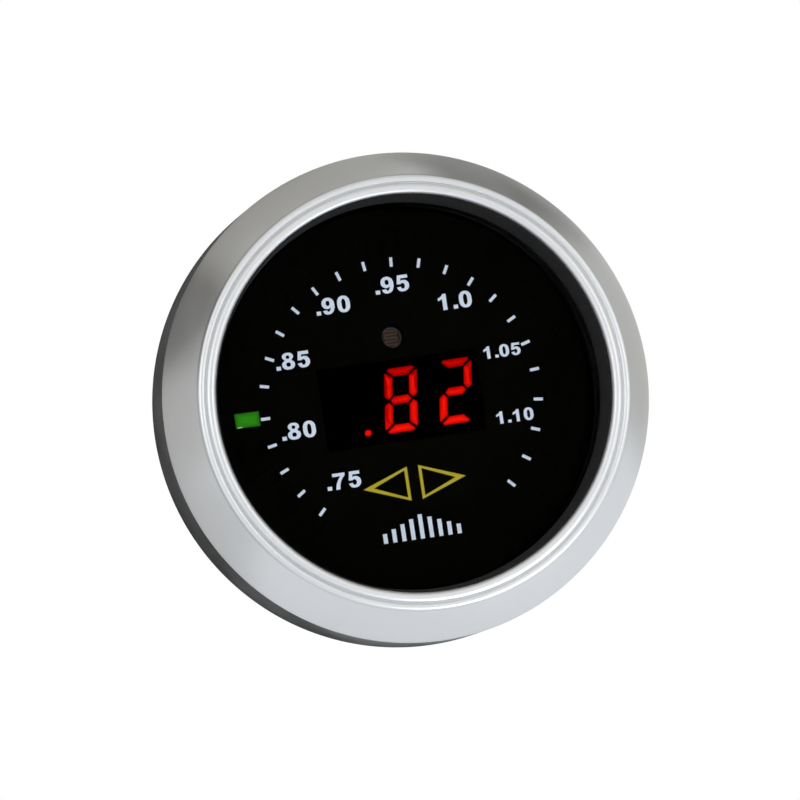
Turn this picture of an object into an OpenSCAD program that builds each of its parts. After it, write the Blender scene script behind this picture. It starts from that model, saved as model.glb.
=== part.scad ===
// Air fuel ratio gauge for a round panel hole: a screw-on bezel over a lens and a
// printed dial, a ring of light windows, a digit display, two circuit boards in a
// cup, two sockets and a calibration switch at the rear, and a clamp bracket.
// Everything is drawn face up: +Z points at the driver and Z = 0 is the panel's face.
// stand_up() then turns it so that the dial looks along -Y, with +Z up.

/* [Panel fit] */
// Diameter of the register that sits in the panel hole
register_d = 52; // [50:0.5:60]
// Length of the register behind the flange
register_len = 2; // [1.5:0.25:3]
// How far the flange laps over the panel, outside the register
flange_lap = 2.4; // [1.5:0.1:3]
// Thickness of the flange
flange_t = 1.6; // [1.2:0.1:2.4]
// Depth of the cup behind the panel's face, without its cover
cup_depth = 22; // [19:0.5:30]
// Wall of the cup
cup_wall = 1.8; // [1.2:0.1:2.4]
// Thickness of the rear cover
cover_t = 2; // [1.6:0.1:3]

/* [Bezel] */
// How far the bezel stands outside the flange's edge
bezel_lap = 1.6; // [1.2:0.1:3]
// Height of the bezel's straight skirt
skirt_h = 10.8; // [10:0.1:14]
// Rise of the sloping face above the skirt
face_rise = 7; // [4.8:0.1:7.5]
// Width of the sloping face, seen from the front
face_w = 3.5; // [2.8:0.1:3.6]
// How far the sloping face bulges
face_crown = 0.18; // [0:0.02:0.3]
// Radius on the edge between the skirt and the face
edge_r = 0.5; // [0.2:0.1:1]
// Wall of the bezel round the thread
bezel_wall = 2.25; // [1.8:0.05:2.5]
// Pitch of the bezel's thread
bezel_pitch = 1.5; // [1:0.25:1.5]
// Turns that take the bezel off its thread
bezel_turns = 4; // [2:1:4]

/* [Lens and dial] */
// How far inside the register the dial's edge is
dial_inset = 1; // [0.8:0.1:1.6]
// Thickness of the lens
lens_t = 2; // [1.5:0.1:2.4]
// Thickness of the gasket under the lens
gasket_t = 0.8; // [0.5:0.1:1.2]
// Height of the spacer ring between dial and gasket
spacer_h = 3.7; // [3:0.1:4.2]
// Wall of the spacer ring
spacer_wall = 1.6; // [1.4:0.1:2]
// Thickness of the printed dial
dial_t = 0.8; // [0.5:0.1:1.2]
// How far the bezel's ledge laps over the lens
lens_lap = 0.75; // [0.5:0.05:1]

/* [Light ring] */
// Number of light windows
window_count = 24; // [12:1:24]
// Angle that the row of windows spans
window_sweep = 270; // [240:5:280]
// Turn of the row of windows, anticlockwise
window_turn = 1.5; // [-5:0.5:5]
// Length of a window along its radius
window_l = 3; // [2:0.1:3.4]
// Width of a window
window_w = 1.8; // [1.2:0.1:2]
// Height of the light baffle
baffle_h = 5.1; // [4.6:0.1:6]
// Thickness of the baffle's front web
web_t = 0.8; // [0.6:0.1:1.2]

/* [Display] */
// Width of the display window
display_w = 20; // [17:0.5:22]
// Height of the display window
display_h = 10.1; // [9:0.1:10.3]
// Height of a digit
digit_h = 7.9; // [6:0.1:8.6]
// Width of a digit
digit_w = 3.9; // [3.4:0.05:4.6]
// Distance from digit to digit
digit_pitch = 6.85; // [5.8:0.05:7]
// Width of a segment
segment_w = 1.1; // [0.8:0.05:1.2]
// Lean of the digits
digit_lean = 8; // [0:1:12]
// Diameter of the light sensor
sensor_d = 3.1; // [2.6:0.1:3.2]
// Diameter of the hole in the dial over the sensor
sensor_hole_d = 2.7; // [2:0.1:2.8]

/* [Boards] */
// Thickness of both circuit boards
board_t = 1.6; // [1:0.1:2]
// Width across the flats of a board standoff
standoff_af = 4.5; // [4:0.1:5]
// Diameter of the holes in the boards for the standoff screws
board_hole_d = 2.7; // [2.5:0.1:3.2]

/* [Rear sockets] */
// Distance from pin to pin
pin_pitch = 3; // [2.5:0.1:3.2]
// Side of a square pin
pin_side = 0.64; // [0.5:0.02:0.8]
// Room between the outer pins and the socket's wall
pin_room = 2.3; // [2.1:0.1:2.5]
// Wall of a socket
socket_wall = 1.4; // [1:0.1:1.6]
// Height of a socket over its board
socket_h = 10.4; // [9.6:0.1:12]
// Depth from a socket's mouth to its pins
pin_recess = 4.6; // [4.2:0.1:5]
// How far a socket stands out of the rear cover
socket_proud = 2; // [1:0.1:3]
// Pins along the power socket, in each of two rows
power_ways = 2; // [1:1:3]
// Pins along the sensor socket, in each of two rows
sensor_ways = 3; // [2:1:4]

/* [Calibration switch] */
// Side of the switch body
switch_side = 7.4; // [6:0.1:7.6]
// Diameter of the switch rotor
rotor_d = 5; // [4:0.1:5.4]
// Width of the screwdriver slot
slot_w = 0.9; // [0.6:0.1:1.2]

/* [Clamp bracket] */
// Width of the bracket strip
bracket_w = 12; // [9:0.5:13]
// Thickness of the bracket strip
bracket_t = 1.2; // [1:0.1:2]
// Inner radius of the bracket's bends
bend_r = 1.5; // [1:0.1:3]
// Distance from the cup's inner wall to a stud's axis
stud_inset = 6.8; // [4:0.1:8]
// Diameter of a stud
stud_d = 4; // [3:0.5:4]
// Pitch of a stud's thread
stud_thread_pitch = 0.7; // [0.5:0.1:0.8]
// Turns that take a nut to the end of its travel
nut_turns = 10; // [6:1:12]
// Diameter of a thumb nut
nut_d = 9; // [8:0.5:10]
// Height of a thumb nut
nut_h = 5; // [4:0.5:7]

/* [Clearances] */
// Radial clearance of a thread or a turning fit
turning_fit = 0.05; // [0.02:0.01:0.08]
// Gap between faces that move past each other
moving_gap = 0.3; // [0.25:0.05:0.4]
// Gap between pieces that are placed together and stay
placing_gap = 0.05; // [0.03:0.01:0.08]
// Gap between the bezel's rear edge and the panel
panel_gap = 0.4; // [0.2:0.1:0.8]

/* [Hidden] */
$fn = 96;

// Radii from the panel hole inwards and outwards
overrun = 0.5;
register_r = register_d / 2;
cup_step = 0.4;
cup_r = register_r - cup_step;
cup_in_r = cup_r - cup_wall;
flange_r = register_r + flange_lap;
bezel_r = flange_r + bezel_lap;
thread_r = bezel_r - bezel_wall;
collar_r = thread_r - turning_fit;
dial_r = register_r - dial_inset;
dial_gap = 0.2;
bore_r = dial_r + dial_gap;
rebate_r = dial_r + moving_gap;
lip_r = dial_r - lens_lap;
spacer_in_r = dial_r - spacer_wall;

// Heights from the panel's face towards the driver
shoulder_drop = 0.6;
board_front_z = board_t - shoulder_drop;
dial_rear_z = board_front_z + baffle_h;
dial_z = dial_rear_z + dial_t;
spacer_top_z = dial_z + spacer_h;
lens_rear_z = spacer_top_z + gasket_t;
lens_front_z = lens_rear_z + lens_t;
collar_top_z = flange_t + bezel_pitch * (bezel_turns + 1);
thread_relief = 0.8;
thread_top_z = collar_top_z + thread_relief;
flange_clear = 0.5;
counterbore_z = flange_t + flange_clear;
bezel_rear_z = panel_gap;
skirt_top_z = bezel_rear_z + skirt_h;
face_top_z = skirt_top_z + face_rise;
face_top_r = bezel_r - face_w;

// Depths behind the panel's face
cover_rear_z = -cup_depth - cover_t;
socket_mouth_z = cover_rear_z - socket_proud;
control_rear_z = socket_mouth_z + socket_h;
control_front_z = control_rear_z + board_t;
standoff_len = -shoulder_drop - control_front_z;

// A key rib inside the housing stops the dial, the baffle and the boards from turning
key_r = 0.9;
key_gap = 0.15;

// Housing bosses and cover screws, at these angles
boss_angles = [55, 125, 235, 305];
boss_r = 2.6;
boss_len = 12;
boss_sink = 0.2;
boss_at_r = cup_in_r - boss_r + boss_sink;
boss_clear = 0.2;
screw_r = 1.1;
screw_hole_r = 1.4;
screw_head_r = 2.2;
screw_head_h = 1.1;
screw_len = 8;
recess_lip = 0.25;

// Light windows, placed on a ring that is a share of the dial
window_ring_share = 0.77;
window_ring_r = dial_r * window_ring_share;
window_step = window_sweep / (window_count - 1);
window_flush = 0.1;
cell_widen = 0.3;
cell_wide_share = 0.4;
emitter_l = 1.6;
emitter_w = 0.8;
emitter_h = 0.8;
wall_between = 1.4;

// Display, with its window in the dial and its module behind the window
digit_count = 3;
module_lap = 0.3;
display_gap = 0.15;
module_size = [digit_count * digit_pitch, display_h] + module_lap * [1, 1];
segment_t = 0.1;
segment_gap = 0.14;
module_top_z = dial_rear_z - segment_t - 2 * display_gap;
filter_flush = 0.1;
sensor_gap = 1.2;
sensor_y = display_h / 2 + sensor_gap + sensor_d / 2;
sensor_t = 1.4;
sensor_tube_wall = 0.4;
lead_r = 0.25;
lead_spread_share = 0.5;

// The control board, and the standoffs' places as shares of its radius
control_gap = 0.55;
control_r = cup_in_r - control_gap;
standoff_shares = [0.29, 0.455];
standoff_corner_r = standoff_af / 2 / cos(30);

// Bracket, studs and nuts
leg_gap = 0.8;
foot_gap = 0.3;
frame_h = 0.5;
frame_w = 1;
cross_gap = 0.6;
leg_in_y = cup_r + leg_gap;
stud_y = cup_in_r - stud_inset;
cross_front_z = cover_rear_z - cross_gap;
cross_rear_z = cross_front_z - bracket_t;
washer_t = 0.8;
washer_lap = 1.9;
nut_front_z = cross_rear_z - washer_t;
bracket_travel = nut_turns * stud_thread_pitch;
stud_proud = 0.9;
stud_end_z = nut_front_z - nut_h - bracket_travel - stud_proud;
stud_head_r = 3.5;
stud_head_h = 1.5;
flute_count = 20;
flute_r = 0.5;

// Sockets stand half way between the bracket and the cup's wall, and the switch's place
// is a share of the board. A socket has two rows of pins across and some ways along.
function socket_size(ways) = [
    pin_pitch + 2 * (pin_room + socket_wall),
    (ways - 1) * pin_pitch + 2 * (pin_room + socket_wall)];
socket_half_l = socket_size(sensor_ways)[1] / 2;
socket_x = (bracket_w / 2 + sqrt(cup_in_r ^ 2 - socket_half_l ^ 2)) / 2;
power_y = 2.5;
power_place = [-socket_x, power_y];
sensor_place = [socket_x, 0];
switch_shares = [-0.58, -0.387];
switch_place = control_r * switch_shares;
rotor_bore_len = 3.6;
switch_rear_z = -cup_depth + moving_gap;

// Turns the face-up drawing so that the dial looks along -Y
module stand_up() {
    rotate([90, 0, 0]) children();
}

// Points along an arc in the profile plane
function arc(centre, r, from, to, steps) =
    [for (i = [0:steps]) let (a = from + (to - from) * i / steps)
        centre + r * [cos(a), sin(a)]];

module disc(r, low, high) {
    translate([0, 0, low]) cylinder(r = r, h = high - low);
}

module ring(outer, inner, low, high) {
    difference() {
        disc(outer, low, high);
        disc(inner, low - overrun, high + overrun);
    }
}

module block(size, low, high) {
    translate([-size[0] / 2, -size[1] / 2, low]) cube([size[0], size[1], high - low]);
}

// The notch that the housing's key rib fits
module key_notch(low, high) {
    translate([0, -bore_r, 0]) disc(key_r + key_gap, low - overrun, high + overrun);
}

module at_each(places) {
    for (p = places) translate([p[0], p[1], 0]) children();
}

function polar_places(r, angles) = [for (a = angles) [r * cos(a), r * sin(a)]];
boss_places = polar_places(boss_at_r, boss_angles);
standoff_places = [for (sx = [-1, 1], sy = [-1, 1])
    control_r * [sx * standoff_shares[0], sy * standoff_shares[1]]];

// Puts a copy at each light window, first at the lower left and then clockwise
module at_each_window() {
    for (i = [0:window_count - 1])
        rotate([0, 0, 90 + window_turn + window_sweep / 2 - i * window_step])
            translate([window_ring_r, 0, 0]) children();
}

module housing() {
    profile = [
        [cup_r, -cup_depth], [cup_r, -register_len], [register_r, -register_len],
        [register_r, 0], [flange_r, 0], [flange_r, flange_t], [collar_r, flange_t],
        [collar_r, collar_top_z - edge_r], [collar_r - edge_r, collar_top_z],
        [bore_r, collar_top_z], [bore_r, -shoulder_drop], [cup_in_r, -shoulder_drop],
        [cup_in_r, -cup_depth]];
    color("#1b1b1c") stand_up() {
        difference() {
            union() {
                rotate_extrude() polygon(profile);
                at_each(boss_places) disc(boss_r, -cup_depth, boss_len - cup_depth);
                intersection() {
                    translate([0, -bore_r, 0]) disc(key_r, -shoulder_drop, collar_top_z - edge_r);
                    disc(collar_r - edge_r, -shoulder_drop, collar_top_z);
                }
            }
            at_each(boss_places) disc(screw_r, -cup_depth - overrun, screw_len - cup_depth);
        }
    }
}

module socket_frame(place, ways) {
    size = socket_size(ways) + 2 * (moving_gap + frame_w) * [1, 1];
    translate(place) block(size, cover_rear_z - frame_h, cover_rear_z + overrun);
}

module socket_window(place, ways) {
    size = socket_size(ways) + 2 * moving_gap * [1, 1];
    translate(place) block(size, socket_mouth_z, overrun - cup_depth);
}

module rear_cover() {
    tongue_h = 1.2;
    tongue_w = 1.2;
    round_r = 0.6;
    head_deep = screw_head_h + recess_lip;
    profile = concat(
        [[0, -cup_depth], [cup_r, -cup_depth]],
        arc([cup_r - round_r, cover_rear_z + round_r], round_r, 0, -90, 6),
        [[0, cover_rear_z]]);
    color("#202021") stand_up() {
        difference() {
            union() {
                rotate_extrude() polygon(profile);
                difference() {
                    ring(cup_in_r - placing_gap, cup_in_r - placing_gap - tongue_w,
                         -cup_depth - cover_t / 2, tongue_h - cup_depth);
                    at_each(boss_places) disc(boss_r + boss_clear, -cup_depth - overrun,
                                              tongue_h - cup_depth + overrun);
                }
                socket_frame(power_place, power_ways);
                socket_frame(sensor_place, sensor_ways);
            }
            socket_window(power_place, power_ways);
            socket_window(sensor_place, sensor_ways);
            translate(switch_place)
                disc(rotor_d / 2 + moving_gap, cover_rear_z - overrun, overrun - cup_depth);
            at_each(boss_places) {
                disc(screw_hole_r, cover_rear_z - overrun, overrun - cup_depth);
                disc(screw_head_r + boss_clear, cover_rear_z - overrun, cover_rear_z + head_deep);
            }
            for (side = [-1, 1]) translate([0, side * stud_y, 0])
                disc(stud_d / 2 + placing_gap, cover_rear_z - overrun, overrun - cup_depth);
        }
    }
}

// A screw whose head rests at z and whose shank points up the drawing's Z axis
module screw(head_radius, head_height, shank_radius, shank_length) {
    drive_r_share = 0.55;
    drive_deep_share = 0.6;
    difference() {
        union() {
            disc(head_radius, -head_height, 0);
            disc(shank_radius, -overrun, shank_length);
        }
        disc(head_radius * drive_r_share, -head_height - overrun,
             head_height * (drive_deep_share - 1), $fn = 6);
    }
}

module cover_screws() {
    head_seat_z = cover_rear_z + screw_head_h + recess_lip;
    color("#8b8d90") stand_up() at_each(boss_places)
        translate([0, 0, head_seat_z])
            screw(screw_head_r, screw_head_h, screw_r - placing_gap, screw_len - cover_t);
}

module mounting_studs() {
    chamfer = 0.5;
    stud_r = stud_d / 2;
    profile = [[0, stud_head_h - cup_depth], [stud_head_r, stud_head_h - cup_depth],
               [stud_head_r, -cup_depth], [stud_r, -cup_depth],
               [stud_r, stud_end_z + chamfer], [stud_r - chamfer, stud_end_z], [0, stud_end_z]];
    color("#b9b7ae") stand_up() for (side = [-1, 1])
        translate([0, side * stud_y, 0]) rotate_extrude() polygon(profile);
}

// The bezel: a straight skirt, a steep crowned face, two beads with a groove between
// them round the lip, a ledge over the lens and a plain bore where the thread runs
module bezel() {
    face_len = norm([face_w, face_rise]);
    slope = atan2(face_w, face_rise);
    crown_turn = atan(4 * face_crown / face_len);
    edge_turn = slope - crown_turn;
    face_steps = 8;
    face_points = [for (i = [1:face_steps - 1]) let (t = i / face_steps)
        [bezel_r - face_w * t, skirt_top_z + face_rise * t]
        + 4 * face_crown * t * (1 - t) * [cos(slope), sin(slope)]];
    inner_bead_share = 0.29;
    outer_bead_share = 0.22;
    inner_bead_r = (face_top_r - lip_r) * inner_bead_share;
    outer_bead_r = (face_top_r - lip_r) * outer_bead_share;
    inner_bead_at = [lip_r + inner_bead_r, face_top_z];
    outer_bead_at = [face_top_r - outer_bead_r, face_top_z];
    groove_lift_share = 0.5;
    groove_lift = outer_bead_r * groove_lift_share;
    inner_turn = asin(groove_lift / inner_bead_r);
    outer_turn = asin(groove_lift_share);
    rear_chamfer = 0.4;
    profile = concat(
        [[bezel_r - rear_chamfer, bezel_rear_z], [bezel_r, bezel_rear_z + rear_chamfer]],
        arc([bezel_r - edge_r, skirt_top_z - edge_r * tan(slope / 2)], edge_r, 0, edge_turn, 4),
        face_points,
        arc(outer_bead_at, outer_bead_r, 0, 180 - outer_turn, 8),
        arc(inner_bead_at, inner_bead_r, inner_turn, 180, 8),
        [[lip_r, lens_front_z], [rebate_r, lens_front_z], [rebate_r, thread_top_z],
         [thread_r, thread_top_z], [thread_r, counterbore_z],
         [flange_r + moving_gap, counterbore_z], [flange_r + moving_gap, bezel_rear_z]]);
    color("#c8c9ca") stand_up() rotate_extrude() polygon(profile);
}

// The matt black sleeve between the lip and the lens, wider at the top
module bezel_liner() {
    liner_r = lip_r - placing_gap;
    foot_wall = 0.55;
    top_wall = 0.15;
    top_drop = 0.3;
    top_z = face_top_z - top_drop;
    color("#26282a") stand_up() rotate_extrude() polygon([
        [liner_r, lens_front_z], [liner_r, top_z],
        [liner_r - top_wall, top_z], [liner_r - foot_wall, lens_front_z]]);
}

module lens() {
    chamfer = 0.25;
    color([0.85, 0.9, 0.92, 0.25]) stand_up() rotate_extrude() polygon([
        [0, lens_rear_z], [dial_r - chamfer, lens_rear_z], [dial_r, lens_rear_z + chamfer],
        [dial_r, lens_front_z - chamfer], [dial_r - chamfer, lens_front_z], [0, lens_front_z]]);
}

module lens_gasket() {
    gasket_lap = 1.1;
    color("#151515") stand_up()
        ring(dial_r, dial_r - gasket_lap, spacer_top_z, lens_rear_z);
}

module dial_spacer() {
    color("#0d0d0e") stand_up() difference() {
        ring(dial_r, spacer_in_r, dial_z, spacer_top_z);
        key_notch(dial_z, spacer_top_z);
    }
}

module dial_plate() {
    window_hole = [window_l, window_w] + 2 * placing_gap * [1, 1];
    display_hole = [display_w, display_h] + 2 * placing_gap * [1, 1];
    color("#050505") stand_up() difference() {
        disc(dial_r, dial_rear_z, dial_z);
        at_each_window() block(window_hole, dial_rear_z - overrun, dial_z + overrun);
        block(display_hole, dial_rear_z - overrun, dial_z + overrun);
        translate([0, sensor_y, 0])
            disc(sensor_hole_d / 2, dial_rear_z - overrun, dial_z + overrun);
        key_notch(dial_rear_z, dial_z);
    }
}

// The moulded baffle: a cell for each light that widens towards its emitter, a web with
// the display's aperture, a tube for the light sensor, and pockets that lighten the rim
module light_baffle() {
    rim_in_r = window_ring_r - window_l / 2 - wall_between;
    web_z = dial_rear_z - web_t;
    wide_z = board_front_z + baffle_h * cell_wide_share;
    cell = [window_l, window_w] + 2 * placing_gap * [1, 1];
    wide_cell = cell + 2 * cell_widen * [1, 1];
    aperture = module_size + 2 * display_gap * [1, 1];
    tube_r = sensor_d / 2 + display_gap;
    pocket_in_r = window_ring_r + window_l / 2 + wall_between;
    pocket_out_r = dial_r - wall_between / 2;
    pocket_r = (pocket_out_r - pocket_in_r) / 2;
    pocket_at_r = (pocket_out_r + pocket_in_r) / 2;
    pocket_count = 20;
    pocket_angle = 360 / pocket_count;
    color("#0a0a0a") stand_up() difference() {
        union() {
            difference() {
                disc(dial_r - placing_gap, board_front_z, dial_rear_z);
                disc(rim_in_r, board_front_z - overrun, web_z);
                for (i = [0:pocket_count - 1]) rotate([0, 0, (i + 1 / 2) * pocket_angle])
                    translate([pocket_at_r, 0, 0])
                        disc(pocket_r, board_front_z - overrun, web_z);
            }
            translate([0, sensor_y, 0])
                disc(tube_r + sensor_tube_wall, web_z - sensor_t, web_z + web_t / 2);
        }
        at_each_window() {
            block(cell, board_front_z - overrun, dial_rear_z + overrun);
            block(wide_cell, board_front_z - overrun, wide_z);
        }
        block(aperture, board_front_z - overrun, dial_rear_z + overrun);
        translate([0, sensor_y, 0]) {
            disc(tube_r, board_front_z - overrun, web_z);
            disc(sensor_hole_d / 2, web_z - overrun, dial_rear_z + overrun);
        }
        key_notch(board_front_z, dial_rear_z);
    }
}

module light_windows() {
    foot_z = board_front_z + emitter_h + display_gap;
    color("#1c2a1c") stand_up() at_each_window()
        block([window_l, window_w], foot_z, dial_z - window_flush);
}

module light_emitters() {
    color("#d8d6c8") stand_up() at_each_window()
        block([emitter_l, emitter_w], board_front_z, board_front_z + emitter_h);
}

module display_module() {
    color("#1a1a1c") stand_up() block(module_size, board_front_z, module_top_z);
}

// A segment lies along X, with ends that come to a point
module segment_bar(length) {
    half = length / 2;
    thin = segment_w / 2;
    polygon([[-half, 0], [thin - half, thin], [half - thin, thin],
             [half, 0], [half - thin, -thin], [thin - half, -thin]]);
}

// Seven segments and a point, leaning to the right
module digit() {
    lean = tan(digit_lean);
    bar_w = digit_w - segment_w - segment_gap;
    arm = (digit_h - segment_w) / 2;
    side_x = (digit_w - segment_w) / 2;
    point_r = segment_w / 2;
    multmatrix([[1, lean, 0, 0], [0, 1, 0, 0], [0, 0, 1, 0], [0, 0, 0, 1]]) {
        for (level = [-1, 0, 1]) translate([0, level * arm]) segment_bar(bar_w);
        for (side = [-1, 1], level = [-1, 1])
            translate([side * side_x, level * arm / 2]) rotate(90)
                segment_bar(arm - segment_gap);
    }
    translate([digit_pitch / 2 - (digit_h / 2 - point_r) * lean, point_r - digit_h / 2])
        circle(r = point_r);
}

module digit_segments() {
    color("#7a0a06") stand_up() for (i = [0:digit_count - 1])
        translate([(i - (digit_count - 1) / 2) * digit_pitch, 0, module_top_z])
            linear_extrude(segment_t) digit();
}

module display_filter() {
    color([0.05, 0.02, 0.03, 0.7]) stand_up()
        block([display_w, display_h], module_top_z + segment_t, dial_z - filter_flush);
}

// A photocell on two leads
module light_sensor() {
    top_z = dial_rear_z - web_t - placing_gap;
    spread = sensor_d / 2 * lead_spread_share;
    color("#a39a8c") stand_up() translate([0, sensor_y, 0]) {
        disc(sensor_d / 2, top_z - sensor_t, top_z);
        for (side = [-1, 1]) translate([side * spread, 0, 0])
            disc(lead_r, board_front_z, top_z - sensor_t / 2);
    }
}

module display_board() {
    color("#10301c") stand_up() difference() {
        disc(dial_r - placing_gap, -shoulder_drop, board_front_z);
        at_each(standoff_places)
            disc(board_hole_d / 2, -shoulder_drop - overrun, board_front_z + overrun);
        key_notch(-shoulder_drop, board_front_z);
    }
}

module driver_chips() {
    chip_w = 7.5;
    chip_l = 10.3;
    chip_h = 2.3;
    chip_x_share = 0.5;
    color("#232323") stand_up() for (side = [-1, 1])
        translate([side * dial_r * chip_x_share, 0, 0])
            block([chip_w, chip_l], -shoulder_drop - chip_h, -shoulder_drop);
}

module board_standoffs() {
    tap_r = board_hole_d / 2 - placing_gap;
    color("#c6a55a") stand_up() at_each(standoff_places) difference() {
        disc(standoff_corner_r, control_front_z, -shoulder_drop, $fn = 6);
        disc(tap_r, control_front_z - overrun, overrun);
    }
}

module board_screws() {
    head_r_share = 0.8;
    head_r = board_hole_d * head_r_share;
    head_h = 1.4;
    shank_r = board_hole_d / 2 - 2 * placing_gap;
    shank = board_t + standoff_len / 4;
    color("#8b8d90") stand_up() at_each(standoff_places) {
        translate([0, 0, control_rear_z]) screw(head_r, head_h, shank_r, shank);
        translate([0, 0, board_front_z]) rotate([180, 0, 0])
            screw(head_r, head_h, shank_r, shank);
    }
}

// A two-row header and its socket, which join the two boards
module board_link() {
    link_l = 15.2;
    link_w = 5.1;
    link_gap = 0.2;
    waist = 0.5;
    split_share = 0.4;
    split_z = control_front_z + standoff_len * split_share;
    link = [link_l, link_w];
    link_y = control_r * standoff_shares[1] + standoff_corner_r + link_gap + link_w / 2;
    color("#17181a") stand_up() translate([0, -link_y, 0]) {
        block(link, split_z, -shoulder_drop);
        block(link - 2 * waist * [1, 1], control_front_z, split_z);
    }
}

module pin_places(place, ways) {
    for (column = [-1, 1], row = [0:ways - 1])
        translate([place[0] + column * pin_pitch / 2,
                   place[1] + (row - (ways - 1) / 2) * pin_pitch, 0])
            children();
}

module control_board() {
    pin_hole_share = 0.8;
    tail_hole_r = pin_side * pin_hole_share;
    color("#10301c") stand_up() difference() {
        disc(control_r, control_rear_z, control_front_z);
        at_each(boss_places) disc(boss_r + 2 * boss_clear, control_rear_z - overrun,
                                  control_front_z + overrun);
        at_each(standoff_places) disc(board_hole_d / 2, control_rear_z - overrun,
                                      control_front_z + overrun);
        pin_places(power_place, power_ways)
            disc(tail_hole_r, control_rear_z - overrun, control_front_z + overrun);
        pin_places(sensor_place, sensor_ways)
            disc(tail_hole_r, control_rear_z - overrun, control_front_z + overrun);
    }
}

// A chip on the control board's front: its size, its height, and its place as shares
module chip(size, height, shares) {
    translate(control_r * shares) block(size, control_front_z, control_front_z + height);
}

module processor_chip() {
    chip_side = 10;
    height = 1.4;
    color("#202124") stand_up() chip([chip_side, chip_side], height, [0, 0]);
}

module sensor_chip() {
    chip_side = 5;
    height = 0.9;
    place_shares = [0, 0.64];
    color("#202124") stand_up() chip([chip_side, chip_side], height, place_shares);
}

module crystal() {
    can_l = 5;
    can_w = 3.2;
    height = 1.1;
    place_shares = [0, 0.365];
    color("#b5b8bb") stand_up() chip([can_l, can_w], height, place_shares);
}

module voltage_regulator() {
    body_l = 6.4;
    body_w = 5.6;
    height = 2.3;
    place_shares = [0.7, -0.36];
    color("#26272a") stand_up() chip([body_l, body_w], height, place_shares);
}

module supply_capacitors() {
    capacitor_r = 3.15;
    height_share = 0.66;
    capacitor_h = standoff_len * height_share;
    bevel = 0.4;
    place_shares = [0.69, 0.4];
    color("#34373c") stand_up() for (side = [-1, 1])
        translate([side * control_r * place_shares[0], control_r * place_shares[1], 0])
        rotate_extrude() polygon([
            [0, control_front_z], [capacitor_r, control_front_z],
            [capacitor_r, control_front_z + capacitor_h - bevel],
            [capacitor_r - bevel, control_front_z + capacitor_h],
            [0, control_front_z + capacitor_h]]);
}

module supply_inductor() {
    core_side = 6;
    height = 3;
    place_shares = [-0.69, -0.365];
    color("#3a3a3a") stand_up() chip([core_side, core_side], height, place_shares);
}

// An open-mouthed socket with a key slot, a latch ramp and a floor with pin holes
module socket(place, ways) {
    size = socket_size(ways);
    inner = size - 2 * socket_wall * [1, 1];
    floor_t = 1.5;
    floor_z = control_rear_z - floor_t;
    hole = pin_side + 2 * placing_gap;
    slot = 1.8;
    slot_deep = 5;
    ramp_w = 3;
    ramp_h = 1.1;
    ramp_out = 0.8;
    translate(place) {
        difference() {
            block(size, socket_mouth_z, control_rear_z);
            block(inner, socket_mouth_z - overrun, floor_z);
            translate([size[0] / 2, 0, 0]) block([size[0] / 2, slot],
                socket_mouth_z - overrun, socket_mouth_z + slot_deep);
            pin_places([0, 0], ways)
                block([hole, hole], floor_z - overrun, control_rear_z + overrun);
        }
        translate([0, size[1] / 2, socket_mouth_z]) rotate([90, 0, 90])
            translate([0, 0, -ramp_w / 2]) linear_extrude(ramp_w) polygon([
                [0, 0], [ramp_out, ramp_h / 2], [ramp_out, ramp_h], [0, ramp_h]]);
    }
}

module pins(place, ways) {
    tail = 1;
    pin_places(place, ways) block([pin_side, pin_side],
        socket_mouth_z + pin_recess, control_front_z + tail);
}

module power_socket() {
    color("#e6e3da") stand_up() socket(power_place, power_ways);
}

module power_pins() {
    color("#c9a24a") stand_up() pins(power_place, power_ways);
}

module sensor_socket() {
    color("#1d1d1f") stand_up() socket(sensor_place, sensor_ways);
}

module sensor_pins() {
    color("#c9a24a") stand_up() pins(sensor_place, sensor_ways);
}

module switch_body() {
    color("#2b4a86") stand_up() translate(switch_place) difference() {
        block([switch_side, switch_side], switch_rear_z, control_rear_z);
        disc(rotor_d / 2 + turning_fit, switch_rear_z - overrun, switch_rear_z + rotor_bore_len);
    }
}

module switch_rotor() {
    sink = 0.2;
    slot_l_share = 0.76;
    slot_deep = 0.8;
    arrow_share = 0.25;
    end_z = cover_rear_z + sink;
    color("#e8e6df") stand_up() translate(switch_place) difference() {
        disc(rotor_d / 2, end_z, switch_rear_z + rotor_bore_len - turning_fit);
        block([rotor_d * slot_l_share, slot_w], end_z - overrun, end_z + slot_deep);
        translate([rotor_d * arrow_share, 0, 0])
            disc(slot_w, end_z - overrun, end_z + slot_deep);
    }
}

// Outline of a strip bent twice, open towards the panel
module u_outline(half_w, bottom, corner_r, top) {
    translate([-half_w, bottom + corner_r]) square([2 * half_w, top - bottom - corner_r]);
    translate([corner_r - half_w, bottom]) square([2 * (half_w - corner_r), corner_r]);
    for (side = [-1, 1]) translate([side * (half_w - corner_r), bottom + corner_r])
        circle(r = corner_r);
}

module bracket() {
    foot_z = -register_len - foot_gap;
    centre_hole_r = 4;
    color("#a9abae") stand_up() difference() {
        rotate([90, 0, 90]) translate([0, 0, -bracket_w / 2]) linear_extrude(bracket_w)
            difference() {
                u_outline(leg_in_y + bracket_t, cross_rear_z, bend_r + bracket_t, foot_z);
                u_outline(leg_in_y, cross_front_z, bend_r, overrun);
            }
        for (side = [-1, 1]) translate([0, side * stud_y, 0])
            disc(stud_d / 2 + moving_gap, cross_rear_z - overrun, cross_front_z + overrun);
        disc(centre_hole_r, cross_rear_z - overrun, cross_front_z + overrun);
    }
}

module lock_washers() {
    color("#9a9c9e") stand_up() for (side = [-1, 1])
        translate([0, side * stud_y, 0])
            ring(stud_d / 2 + washer_lap, stud_d / 2 + moving_gap, nut_front_z, cross_rear_z);
}

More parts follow.
